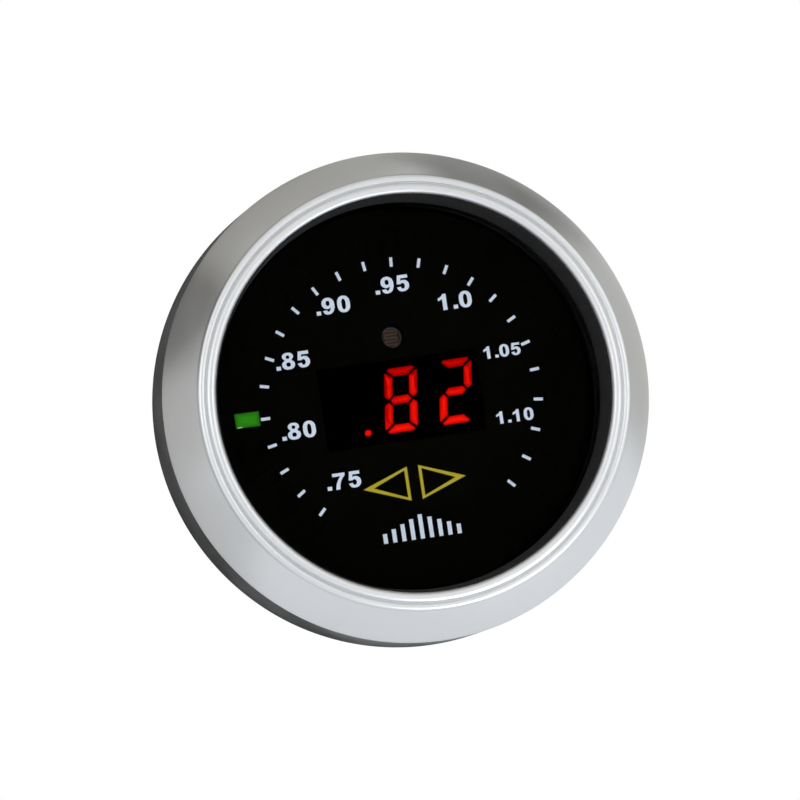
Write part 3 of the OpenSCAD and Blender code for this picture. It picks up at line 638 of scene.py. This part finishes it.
def bezel_profile(sizes):
    """The bezel's section: skirt, crowned face, two beads with a groove, lip and thread bore."""
    outer = outer_r("bezel")
    rear = low_z("bezel")
    skirt_top = rear + sizes.skirt_h
    face_top = skirt_top + sizes.face_rise
    face_top_r = outer - sizes.face_w
    lens_r = outer_r("lens")
    lip_r = lens_r - sizes.lens_lap
    lens_front = high_z("lens")
    moving_gap, flange_inset, counterbore = 0.3 * MM, 1.6 * MM, 2.1 * MM
    collar_gap, chamfer = 0.8 * MM, 0.4 * MM
    rebate_r = lens_r + moving_gap
    thread_r = outer - sizes.bezel_wall
    thread_top = high_z("housing") + collar_gap
    flange_bore = outer - flange_inset + moving_gap
    slope = math.atan2(sizes.face_w, sizes.face_rise)
    face_len = math.hypot(sizes.face_w, sizes.face_rise)
    crown_turn = math.degrees(math.atan(4 * sizes.face_crown / face_len))
    edge_steps, face_steps, outer_steps, inner_steps = 8, 24, 20, 24
    face = []
    for i in range(1, face_steps):
        t = i / face_steps
        bulge = 4 * sizes.face_crown * t * (1 - t)
        face.append((outer - sizes.face_w * t + bulge * math.cos(slope),
                     skirt_top + sizes.face_rise * t + bulge * math.sin(slope)))
    inner_share, outer_share, groove_share = 0.29, 0.22, 0.5
    inner_bead = (face_top_r - lip_r) * inner_share
    outer_bead = (face_top_r - lip_r) * outer_share
    inner_turn = math.degrees(math.asin(outer_bead * groove_share / inner_bead))
    outer_turn = math.degrees(math.asin(groove_share))
    edge_at = (outer - sizes.edge_r, skirt_top - sizes.edge_r * math.tan(slope / 2))
    return ([(outer - chamfer, rear), (outer, rear + chamfer)]
            + arc(edge_at, sizes.edge_r, 0, math.degrees(slope) - crown_turn, edge_steps)
            + face
            + arc((face_top_r - outer_bead, face_top), outer_bead, 0, 180 - outer_turn,
                  outer_steps)
            + arc((lip_r + inner_bead, face_top), inner_bead, inner_turn, 180, inner_steps)
            + [(lip_r, lens_front), (rebate_r, lens_front), (rebate_r, thread_top),
               (thread_r, thread_top), (thread_r, counterbore),
               (flange_bore, counterbore), (flange_bore, rear)])


class GAUGE_OT_bezel(bpy.types.Operator):
    """Adds the bezel and the black sleeve inside its lip"""
    bl_idname = "gauge.bezel"
    bl_label = "Bezel"

    def execute(self, context):
        sizes = context.scene.gauge_bezel
        # Flocked sleeve: deep black, with a faint bloom at a glancing angle
        flock = dull_black("flocked_black_nylon", "#1c1c1d", 0.25)
        lacquer = silver_lacquer(tuple(sizes.paint), outer_r("bezel") - sizes.face_w)
        place(lathe("bezel_ring", bezel_profile(sizes), lacquer),
              "bezel_ring", "silver_paint", "bezel")
        radius, top = outer_r("bezel_liner"), high_z("bezel_liner")
        clear_of_lens, top_wall, foot_wall = 0.03 * MM, 0.15 * MM, 0.55 * MM
        foot = low_z("bezel_liner") + clear_of_lens
        sleeve = lathe("liner_sleeve", [(radius, foot), (radius, top), (radius - top_wall, top),
                                        (radius - foot_wall, foot)], flock)
        place(sleeve, "bezel_ring", "matt_liner", "bezel_liner")
        return {"FINISHED"}


class GAUGE_OT_lens(bpy.types.Operator):
    """Adds the lens"""
    bl_idname = "gauge.lens"
    bl_label = "Lens"

    def execute(self, context):
        radius, rear, front = outer_r("lens"), low_z("lens"), high_z("lens")
        chamfer = 0.25 * MM
        pane = lathe("lens_pane", [(0, rear), (radius - chamfer, rear), (radius, rear + chamfer),
                                   (radius, front - chamfer), (radius - chamfer, front),
                                   (0, front)],
                     acrylic("polished_clear_acrylic", "#f7fafa", 1.49, 0.0), closed=False)
        place(pane, "lens_stack", "clear_lens", "lens")
        return {"FINISHED"}


# The dial's numbers, and the middle of each in millimetres
FIGURES = (
    (".75", -8.63, -8.82), (".80", -13.22, -1.98), (".85", -12.68, 6.60), (".90", -6.76, 12.60),
    (".95", 0.84, 14.16), ("1.0", 8.28, 11.14), ("1.05", 13.13, 4.24), ("1.10", 13.52, -3.88))


class GAUGE_OT_print(bpy.types.Operator):
    """Prints the ticks, the numbers, two wedges and a row of bars on the dial"""
    bl_idname = "gauge.print"
    bl_label = "Dial print"

    def execute(self, context):
        sizes = context.scene.gauge_print
        dial_z = high_z("dial_plate")
        # The inks glow a little: partly backlight, partly painted light in place of the lamp light
        # that the lens keeps off the dial
        white = backlit_ink_with_painted_light("screened_white_ink", tuple(sizes.white_ink), 0.38)
        yellow = backlit_ink_with_painted_light("screened_yellow_ink", tuple(sizes.yellow_ink), 0.3)
        corner = 0.05 * MM
        place(grown("dial_ticks", slab_row_tree(), {
            "Count": sizes.tick_count, "Ring Radius": sizes.tick_ring_r,
            "First": sizes.first_tick, "Step": sizes.tick_step,
            "Gap After": sizes.gap_after, "Gap": sizes.gap,
            "Wide After": sizes.wide_after, "Wide": sizes.wide,
            "Length": sizes.tick_l, "Width": sizes.tick_w, "Round": corner,
            "Thickness": sizes.ink_t, "Height": dial_z, "Shift": (-sizes.print_shift, 0, 0),
            "Material": white}), "case", "printed_dial")
        figures = [written(text, (x * MM, y * MM),
                           sizes.small_figure_h if len(text) > 3 else sizes.figure_h)
                   for text, x, y in FIGURES]
        place(joined("dial_numbers", figures, white, dial_z, dial_z + sizes.ink_t),
              "case", "printed_dial")
        for name, outlines, print_ink in (("dial_wedges", self.wedges(), yellow),
                                          ("dial_bars", self.bars(), white)):
            place(flat_shapes(name, outlines, dial_z, dial_z + sizes.ink_t, print_ink),
                  "case", "printed_dial")
        return {"FINISHED"}

    def wedges(self):
        """Two outlined wedges that point away from each other, for rich and lean."""
        inner, outer, tall, line = 0.7 * MM, 6.4 * MM, 2.1 * MM, 0.36 * MM
        centre_y, tip_share, corner_share = -10.3 * MM, 3.6, 1.15
        return [[(side * (inner + inset), centre_y + tall - inset * corner_share),
                 (side * (outer - inset * tip_share), centre_y),
                 (side * (inner + inset), centre_y - tall + inset * corner_share)]
                for side in (-1, 1) for inset in (0, line)]

    def bars(self):
        """A row of upright bars that rise to the middle."""
        count, pitch, half_w, base_y = 9, 1.15 * MM, 0.26 * MM, -17.2 * MM
        tallest, fall = 3.0 * MM, 0.45 * MM
        outlines = []
        for i in range(count):
            from_middle = i - (count - 1) / 2
            x, top = from_middle * pitch, base_y + tallest - fall * abs(from_middle)
            outlines.append([(x - half_w, base_y), (x + half_w, base_y),
                             (x + half_w, top), (x - half_w, top)])
        return outlines


def segment_outlines(sizes):
    """The seven segments of a digit, a to g, mitred where they meet."""
    tall, wide, thick = sizes.digit_h / 2, sizes.digit_w / 2, sizes.segment_w
    gap, half = sizes.segment_gap, thick / 2
    cut, narrow, bare, broad = thick * 0.42, gap * 0.6, gap * 0.4, gap * 1.4
    top = [(-wide + cut + gap, tall), (wide - cut - gap, tall), (wide - gap * 2, tall - cut + gap),
           (wide - thick - gap, tall - thick), (-wide + thick + gap, tall - thick),
           (-wide + gap * 2, tall - cut + gap)]
    side = [(wide, tall - cut - gap), (wide - gap, tall - cut - narrow),
            (wide - thick, tall - thick - gap), (wide - thick, half + gap),
            (wide - half, gap), (wide, half + bare)]
    middle = [(-wide + thick + gap, half), (wide - thick - gap, half), (wide - half - broad, 0),
              (wide - thick - gap, -half), (-wide + thick + gap, -half),
              (-wide + half + broad, 0)]
    left = [(-x, y) for x, y in side]
    return {"a": top, "b": side, "c": [(x, -y) for x, y in side],
            "d": [(x, -y) for x, y in top], "e": [(x, -y) for x, y in left],
            "f": left, "g": middle}


def glowing_shapes(name, outlines, low, high, rim, material):
    """Upright prisms whose core attribute goes from 0 at the rim to 1 inside it."""
    inner_core = 0.75
    work = bmesh.new()
    core = work.verts.layers.float.new("core")
    for outline in outlines:
        count = len(outline)
        middle = Vector((sum(x for x, y in outline) / count, sum(y for x, y in outline) / count))
        foot = [work.verts.new((x, y, low)) for x, y in outline]
        edge = [work.verts.new((x, y, high)) for x, y in outline]
        inner = [work.verts.new((*at, high)) for at in inset_points(outline, rim)]
        heart = work.verts.new((*middle, high))
        for vert in inner:
            vert[core] = inner_core
        heart[core] = 1
        work.faces.new(foot)
        for i in range(count):
            j = (i + 1) % count
            work.faces.new((foot[i], foot[j], edge[j], edge[i]))
            work.faces.new((edge[i], edge[j], inner[j], inner[i]))
            work.faces.new((inner[i], inner[j], heart))
    bmesh.ops.recalc_face_normals(work, faces=work.faces)
    return show(kept(name, work), name, material)


def inset_points(outline, rim):
    """Each corner of a convex outline, moved in by rim along the line that halves it."""
    moved = []
    least_sine = 0.4    # keeps a sharp corner's point inside the outline
    for i, here in enumerate(outline):
        before, after = Vector(outline[i - 1]), Vector(outline[(i + 1) % len(outline)])
        point = Vector(here)
        half_way = (before - point).normalized() + (after - point).normalized()
        if half_way.length < 1e-6:
            half_way = Vector((-(after - before).y, (after - before).x))
        half_angle = (before - point).angle(after - point) / 2
        moved.append(point + half_way.normalized() * rim / max(math.sin(half_angle), least_sine))
    return moved


# Each digit's lit segments, and whether its decimal point is lit
DIGITS = (("", True), ("abcdefg", False), ("abged", False))


class GAUGE_OT_display(bpy.types.Operator):
    """Adds the lit and unlit segments and the lit window"""
    bl_idname = "gauge.display"
    bl_label = "Display"

    def execute(self, context):
        sizes = context.scene.gauge_display
        low, high = low_z("digit_segments"), high_z("digit_segments")
        lean, half = math.tan(sizes.lean), sizes.segment_w / 2
        dot_share, rim_share, dot_sides, glow = 0.85, 0.38, 24, 2.2
        dot_r, rim, dot_y = half * dot_share, sizes.segment_w * rim_share, half - sizes.digit_h / 2
        lit, dark = [], []
        for i, (letters, point) in enumerate(DIGITS):
            x0 = (i - (len(DIGITS) - 1) / 2) * sizes.digit_pitch
            for letter, outline in segment_outlines(sizes).items():
                shape = [(x0 + x + lean * y, y) for x, y in outline]
                (lit if letter in letters else dark).append(shape)
            dot = circle((x0 + sizes.point_ahead + lean * dot_y, dot_y), dot_r, dot_sides)
            (lit if point else dark).append(dot)
        cos, sin = math.cos(sizes.skew), math.sin(sizes.skew)
        lit, dark = ([[(x * cos - y * sin, x * sin + y * cos + sizes.lift) for x, y in shape]
                      for shape in shapes] for shapes in (lit, dark))
        place(glowing_shapes("segments_lit", lit, low, high, rim,
                             lit_face("lit_cast_epoxy", tuple(sizes.red), tuple(sizes.red_rim),
                                      glow)),
              "case", "segment_red", "digit_segments")
        place(glowing_shapes("segments_unlit", dark, low, high, rim,
                             dull_black("unlit_cast_epoxy", "#060202")), "case", "segment_red")
        self.window(sizes)
        return {"FINISHED"}

    def window(self, sizes):
        """The lit light window, over the dark one, with a painted glint where it is cut."""
        turn = sizes.first_window - (sizes.lit_window - 1) * sizes.window_step
        half_l, half_w = 1.5 * MM, 0.9 * MM
        ring = outer_r("light_windows") - half_l
        centre = Vector((ring * math.cos(turn), ring * math.sin(turn)))
        along = Vector((math.cos(turn), math.sin(turn)))
        across = Vector((-along.y, along.x))

        def spot(x, y):
            return tuple(centre + along * half_l * x + across * half_w * y)

        face_z, lit_t, glint_t, rim = high_z("light_windows"), 0.06 * MM, 0.01 * MM, 0.5 * MM
        lit = [spot(-1, -1), spot(1, -1), spot(1, 1), spot(-1, 1)]
        place(glowing_shapes("window_lit", [lit], face_z, face_z + lit_t, rim,
                             lit_face("lit_moulded_acrylic", tuple(sizes.green),
                                      tuple(sizes.green_rim), 1.0)),
              "case", "window_plastic")
        # A painted glint: a pale sliver that glows on the lit window's cut edge
        glint = [spot(0.5, 0.82), spot(0.88, 0.86), spot(0.86, 0.97), spot(0.5, 0.93)]
        place(flat_shapes("window_glint", [glint], face_z + lit_t, face_z + lit_t + glint_t,
                          painted_glint("painted_glint_acrylic_edge", linear("#b8dc96"), 0.8)),
              "case", "window_plastic")


class GAUGE_OT_studs(bpy.types.Operator):
    """Adds the two mounting studs with their rolled threads"""
    bl_idname = "gauge.studs"
    bl_label = "Mounting studs"

    def execute(self, context):
        sizes = context.scene.gauge_studs
        # Zinc plate over a rolled thread: pale grey, and a little cloudy
        zinc = plain("rolled_zinc_steel", "#b3b4b4", 0.32, 1.0, 1.2)
        end, head_top = low_z("mounting_studs"), high_z("mounting_studs")
        cover = low_z("rear_cover")
        seat = cover + sizes.cover_t
        stud_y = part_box("mounting_studs")[1].z - sizes.head_r
        ridge = sizes.pitch / 2
        core = sizes.stud_r - ridge
        root_share, facets = 0.15, 48
        root = core + ridge * root_share
        turns = int((cover - end) / sizes.pitch) - 1
        tree = thread_tree()
        for name, side in (("upper_stud", 1), ("lower_stud", -1)):
            thread = grown(name + "_thread", tree, {
                "Turns": float(turns), "Helix Radius": core, "Height": turns * sizes.pitch,
                "Ridge": ridge, "Start": (0, side * stud_y, end + sizes.pitch),
                "Material": zinc})
            place(thread, "case", "zinc_steel", "mounting_studs")
            mesh = turned(name, [(0, head_top), (sizes.head_r, head_top), (sizes.head_r, seat),
                                 (sizes.stud_r, seat), (sizes.stud_r, cover),
                                 (root, cover - ridge), (root, end + ridge), (core - ridge, end),
                                 (0, end)], facets, False)
            mesh.transform(Matrix.Translation((0, side * stud_y, 0)))
            soften(mesh)
            place(show(mesh, name, zinc), "case", "zinc_steel")
        return {"FINISHED"}


class GAUGE_OT_photocell(bpy.types.Operator):
    """Adds the photocell's sensing track and its metal rim, seen through the dial's hole"""
    bl_idname = "gauge.photocell"
    bl_label = "Photocell"

    def execute(self, context):
        low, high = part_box("light_sensor")
        centre = Vector(((low.x + high.x) / 2, (low.z + high.z) / 2))
        top, radius = -low.y, (high.x - low.x) / 2
        track_t = 0.015 * MM
        rows, half_run, pitch, half_w = 5, 0.8 * MM, 0.42 * MM, 0.1 * MM
        track = []

        def bar(left, right, low_y, high_y):
            track.append([(centre.x + x, centre.y + y) for x, y in (
                (left, low_y), (right, low_y), (right, high_y), (left, high_y))])

        for i in range(rows):
            y = (i - (rows - 1) / 2) * pitch
            bar(-half_run, half_run, y - half_w, y + half_w)
            if i < rows - 1:
                x = (half_run - half_w) * (1 if i % 2 else -1)
                bar(x - half_w, x + half_w, y + half_w, y + pitch - half_w)
        outer_share, inner_share, facets = 0.8, 0.74, 48
        rim = [circle(centre, radius * share, facets) for share in (outer_share, inner_share)]
        # Printed cadmium sulphide, brown and dull, inside a dip-tinned rim with a grey shine
        sulphide = plain("printed_cadmium_sulphide", "#7a4a22", 0.5)
        tin = plain("dip_tinned_copper", "#6a6764", 0.35, 0.6)
        for name, outlines, finish in (("photocell_track", track, sulphide),
                                       ("photocell_rim", rim, tin)):
            place(flat_shapes(name, outlines, top, top + track_t, finish), "case", "photocell")
        return {"FINISHED"}


def cad_finishes():
    """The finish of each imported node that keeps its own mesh."""
    # Sprayed solder mask: dark green, and smooth but for a slight flow
    board = plain("sprayed_solder_mask", "#10301c", 0.35)
    # Moulded epoxy: charcoal and matt, with a grain finer than the housing's
    chip = matt_black("moulded_chip_epoxy", "#202022", 0.6, 0.1)
    # Electroplated zinc on steel: pale grey, and a little cloudy
    zinc = plain("electroplated_zinc", "#b3b4b4", 0.34, 1.0, 1.5, 0.001)
    # Brass turned from bar: warm, with a soft shine that handling has mottled
    brass = plain("turned_brass", "#cdb070", 0.34, 1.0, 2.5, 0.0005)
    # Gold flash on a stamped pin: bright and even
    gold = plain("flash_plated_gold", "#d8ab4e", 0.25, 1.0)
    collar_inset = 0.75 * MM
    finishes = {
        # Moulded plastic and rubber: a dull sheen that the grain breaks up
        "housing": threaded(matt_black("moulded_housing_abs", "#1b1b1c", 0.6),
                            outer_r("housing") - collar_inset),
        "rear_cover": matt_black("moulded_cover_abs", "#202021", 0.55, 0.3),
        "lens_gasket": matt_black("moulded_black_rubber", "#141414", 0.75),
        "board_link": matt_black("moulded_link_nylon", "#17181a", 0.5),
        "sensor_socket": matt_black("moulded_black_nylon", "#1d1d1f", 0.5),
        "supply_inductor": matt_black("fired_ferrite", "#3a3a3a", 0.7),
        # What lies behind the lens, each as dark as it looks there
        "dial_spacer": dull_black("moulded_spacer_abs", "#060606"),
        "dial_plate": dull_black("screened_dial_black", "#0b0b08"),
        "light_baffle": dull_black("moulded_baffle_abs", "#040404"),
        "light_windows": dull_black("moulded_dark_acrylic", "#0b0b08"),
        "display_module": dull_black("potted_module_epoxy", "#010101"),
        # Smoked: nearly black until a segment is lit. Its low IOR keeps its face dim
        "display_filter": acrylic("polished_smoked_acrylic", "#9a3a38", 1.33, 0.02),
        # Cast resin and fired ceramic, with a low gloss, and drawn aluminium cans
        "light_emitters": plain("cast_emitter_resin", "#d8d6c8", 0.3),
        "light_sensor": plain("fired_photocell_ceramic", "#2e2a28", 0.5),
        "supply_capacitors": plain("drawn_aluminium", "#8f9195", 0.3, 1.0),
        # Mouldings in their own colour, with a soft gloss
        "power_socket": plain("moulded_natural_nylon", "#e6e3da", 0.45),
        "switch_body": plain("moulded_blue_polyester", "#2b4a86", 0.5),
        "switch_rotor": plain("moulded_cream_nylon", "#e8e6df", 0.5)}
    shared = {
        board: ("display_board", "control_board"),
        chip: ("driver_chips", "processor_chip", "sensor_chip", "voltage_regulator"),
        zinc: ("cover_screws", "mounting_studs", "board_screws", "crystal", "bracket",
               "lock_washers"),
        brass: ("board_standoffs", "upper_nut", "lower_nut"),
        gold: ("power_pins", "sensor_pins")}
    finishes.update((node, finish) for finish, nodes in shared.items() for node in nodes)
    return finishes


class GAUGE_OT_finishes(bpy.types.Operator):
    """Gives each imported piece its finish"""
    bl_idname = "gauge.finishes"
    bl_label = "Finishes"

    def execute(self, context):
        for node, material in cad_finishes().items():
            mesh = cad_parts[node].data
            mesh.materials.clear()
            mesh.materials.append(material)
        return {"FINISHED"}


# The studio

class GAUGE_OT_studio(bpy.types.Operator):
    """Adds the camera, the white room, the floor and the cards that the paint mirrors"""
    bl_idname = "gauge.studio"
    bl_label = "Studio"

    def execute(self, context):
        self.camera(context, context.scene.gauge_studio)
        self.room(context)
        self.floor()
        self.cards()
        self.lamps()
        context.scene.view_settings.view_transform = "Standard"
        return {"FINISHED"}

    def camera(self, context, sizes):
        """Places the camera on the line of sight that the photograph was taken along."""
        lean = Vector((math.cos(sizes.tilt_towards), math.sin(sizes.tilt_towards), 0))
        normal = lean * math.sin(sizes.tilt) + Vector((0, 0, math.cos(sizes.tilt)))
        right = Vector((0, 1, 0)).cross(normal).normalized()
        up = normal.cross(right)
        dial_right = right * math.cos(sizes.roll) + up * math.sin(sizes.roll)
        dial_up = up * math.cos(sizes.roll) - right * math.sin(sizes.roll)
        to_dial = Matrix((dial_right, dial_up, normal))
        at = to_dial @ Vector((-sizes.aside, 0, sizes.distance))
        at.z += high_z("dial_plate")
        data = bpy.data.cameras.new("camera")
        data.lens = sizes.focal
        data.clip_start = 0.05
        made = bpy.data.objects.new("camera", data)
        bpy.context.scene.collection.objects.link(made)
        made.matrix_world = STAND @ Matrix.Translation(at) @ to_dial.to_4x4()
        context.scene.camera = made

    def room(self, context):
        """A white world for what sees it directly, and a softer one for diffuse light."""
        world = bpy.data.worlds.new("white_room")
        world.use_nodes = True
        tree = world.node_tree
        strength = add(tree, "ShaderNodeMapRange", {"Value": seen_directly(tree),
                                                    "To Min": 0.6, "To Max": 1.0})
        background = tree.nodes["Background"]
        background.inputs["Color"].default_value = (1, 1, 1, 1)
        tree.links.new(strength.outputs[0], background.inputs["Strength"])
        context.scene.world = world

    def floor(self):
        """A broad sheet of matt white paint, lit a little for what sees it directly."""
        mesh = bpy.data.meshes.new("floor")
        half, drop = 1.5, -0.08
        mesh.from_pydata([(-half, -half, drop), (half, -half, drop), (half, half, drop),
                          (-half, half, drop)], [], [(0, 1, 2, 3)])
        made, tree, shader = principled("rolled_white_paint", Base_Color=linear("#e6e6e4"),
                                        Roughness=0.8, Specular_IOR_Level=0.1,
                                        Emission_Color=linear("#eef5ff"))
        lift = add(tree, "ShaderNodeMapRange", {"Value": seen_directly(tree),
                                                "To Min": 0.0, "To Max": 0.48})
        tree.links.new(lift.outputs[0], shader.inputs["Emission Strength"])
        show(mesh, "floor", made, stand=False)

    def skirt_flag(self):
        """A black ring close behind the bezel, which keeps its skirt dark at a glance."""
        steps, near, far, aside, height = 96, 0.027, 0.046, -0.0045, -0.014
        turns = [2 * math.pi * i / steps for i in range(steps)]
        mesh = bpy.data.meshes.new("skirt_flag")
        mesh.from_pydata([(x + r * math.cos(t), r * math.sin(t), height)
                          for r, x in ((near, 0), (far, aside)) for t in turns], [],
                         [(i, (i + 1) % steps, steps + (i + 1) % steps, steps + i)
                          for i in range(steps)])
        self.hang("skirt_flag", mesh, (0, 0, 0))

    def hang(self, name, mesh, tone):
        """Shows a card to the rays that paint and glass send on, and to no others."""
        cloth = principled(name + "_cloth", Base_Color=linear("#000000"), Specular_IOR_Level=0,
                           Emission_Color=(*tone, 1), Emission_Strength=1)[0]
        card = show(mesh, name, cloth)
        card.visible_camera = card.visible_diffuse = card.visible_shadow = False

    def cards(self):
        """Cards that only the paint and the lens mirror, as a photographer flags a shot."""
        self.skirt_flag()
        for name, turn, off, distance, wide, high, tone in CARDS:
            mesh = bpy.data.meshes.new(name)
            mesh.from_pydata([(-wide / 2, -high / 2, 0), (wide / 2, -high / 2, 0),
                              (wide / 2, high / 2, 0), (-wide / 2, high / 2, 0)],
                             [], [(0, 1, 2, 3)])
            mesh.transform(aimed(turn, off, distance))
            self.hang(name, mesh, tone)

    def lamps(self):
        """The round lamps that the beads and the face mirror."""
        for name, turn, off, distance, size, watts, tone in LAMPS:
            data = bpy.data.lights.new(name, "AREA")
            data.shape = "DISK"
            data.size = size
            data.energy = watts
            data.color = tone
            lamp = bpy.data.objects.new(name, data)
            bpy.context.scene.collection.objects.link(lamp)
            lamp.matrix_world = STAND @ aimed(turn, off, distance)


# Cards: name, direction anticlockwise from the right, degrees off the gauge's axis, distance,
# width round the axis, height along it, light that it gives back
CARDS = (
    ("lens_flag", 19.4, 9.5, 2.0, 0.18, 0.18, (0.0, 0.0, 0.0)),
    ("right_scrim", 3, 125, 0.45, 0.46, 0.34, (0.58, 0.58, 0.55)),
    ("right_flag", 52, 122, 0.4, 0.23, 0.3, (0.2, 0.195, 0.18)),
    ("top_scrim", 108, 122, 0.5, 0.55, 0.4, (0.44, 0.43, 0.4)),
    ("left_flag", 145, 120, 0.35, 0.15, 0.3, (0.14, 0.135, 0.125)),
    ("left_scrim", 188, 115, 0.45, 0.5, 0.36, (0.58, 0.58, 0.56)),
    ("left_floor_card", 218, 112, 0.13, 0.11, 0.1, (0.68, 0.69, 0.7)),
    ("front_scrim", 0, 0, 3.0, 1.7, 1.7, (0.6, 0.67, 0.8)),
    ("lower_reflector", 290, 62, 0.085, 0.07, 0.05, (3.2, 3.3, 3.4)),
    ("crest_scrim", 88, 58, 0.5, 0.95, 0.3, (0.7, 0.68, 0.64)),
)

# Lamps: name, direction, degrees off the axis, distance, size, watts, colour
LAMPS = (
    ("top_lamp", 100, 40, 0.8, 0.5, 0.4, (1.0, 0.96, 0.88)),
    ("right_lamp", 6, 34, 0.6, 0.26, 0.33, (1.0, 0.97, 0.9)),
    ("left_lamp", 166, 50, 0.6, 0.28, 0.38, (0.92, 0.96, 1.0)),
)


def aimed(turn, off, distance):
    """A face-up place that looks at the gauge, in a direction given in degrees."""
    turn, off = math.radians(turn), math.radians(off)
    towards = Vector((math.sin(off) * math.cos(turn), math.sin(off) * math.sin(turn),
                      math.cos(off)))
    look = towards.to_track_quat("Z", "Y").to_matrix().to_4x4()
    return Matrix.Translation(towards * distance) @ look


def seen_directly(tree):
    """1 for a ray from the camera, or one that metal or glass sends on."""
    path = add(tree, "ShaderNodeLightPath").outputs
    sent_on = add(tree, "ShaderNodeMath", {0: path["Is Glossy Ray"],
                                           1: path["Is Transmission Ray"]}, operation="MAXIMUM")
    return add(tree, "ShaderNodeMath", {0: path["Is Camera Ray"], 1: sent_on},
               operation="MAXIMUM")


class GAUGE_PT_panel(bpy.types.Panel):
    """Lists the gauge's pieces"""
    bl_label = "Gauge"
    bl_idname = "GAUGE_PT_panel"
    bl_space_type = "VIEW_3D"
    bl_region_type = "UI"
    bl_category = "Gauge"

    def draw(self, context):
        for operator in STEPS:
            self.layout.operator(operator.bl_idname)


GROUPS = {"gauge_bezel": GaugeBezelSizes, "gauge_print": GaugePrintSizes,
          "gauge_display": GaugeDisplaySizes, "gauge_studs": GaugeStudSizes,
          "gauge_studio": GaugeStudioSizes}
STEPS = (GAUGE_OT_finishes, GAUGE_OT_bezel, GAUGE_OT_lens, GAUGE_OT_print, GAUGE_OT_display,
         GAUGE_OT_photocell, GAUGE_OT_studs, GAUGE_OT_studio)


def register():
    for group in GROUPS.values():
        bpy.utils.register_class(group)
    for operator in STEPS:
        bpy.utils.register_class(operator)
    bpy.utils.register_class(GAUGE_PT_panel)
    for name, group in GROUPS.items():
        setattr(bpy.types.Scene, name, bpy.props.PointerProperty(type=group))


def unregister():
    for name in GROUPS:
        delattr(bpy.types.Scene, name)
    bpy.utils.unregister_class(GAUGE_PT_panel)
    for operator in reversed(STEPS):
        bpy.utils.unregister_class(operator)
    for group in GROUPS.values():
        bpy.utils.unregister_class(group)


def main():
    register()
    for operator in STEPS:
        group, name = operator.bl_idname.split(".")
        getattr(getattr(bpy.ops, group), name)()


if __name__ == "__main__":
    main()
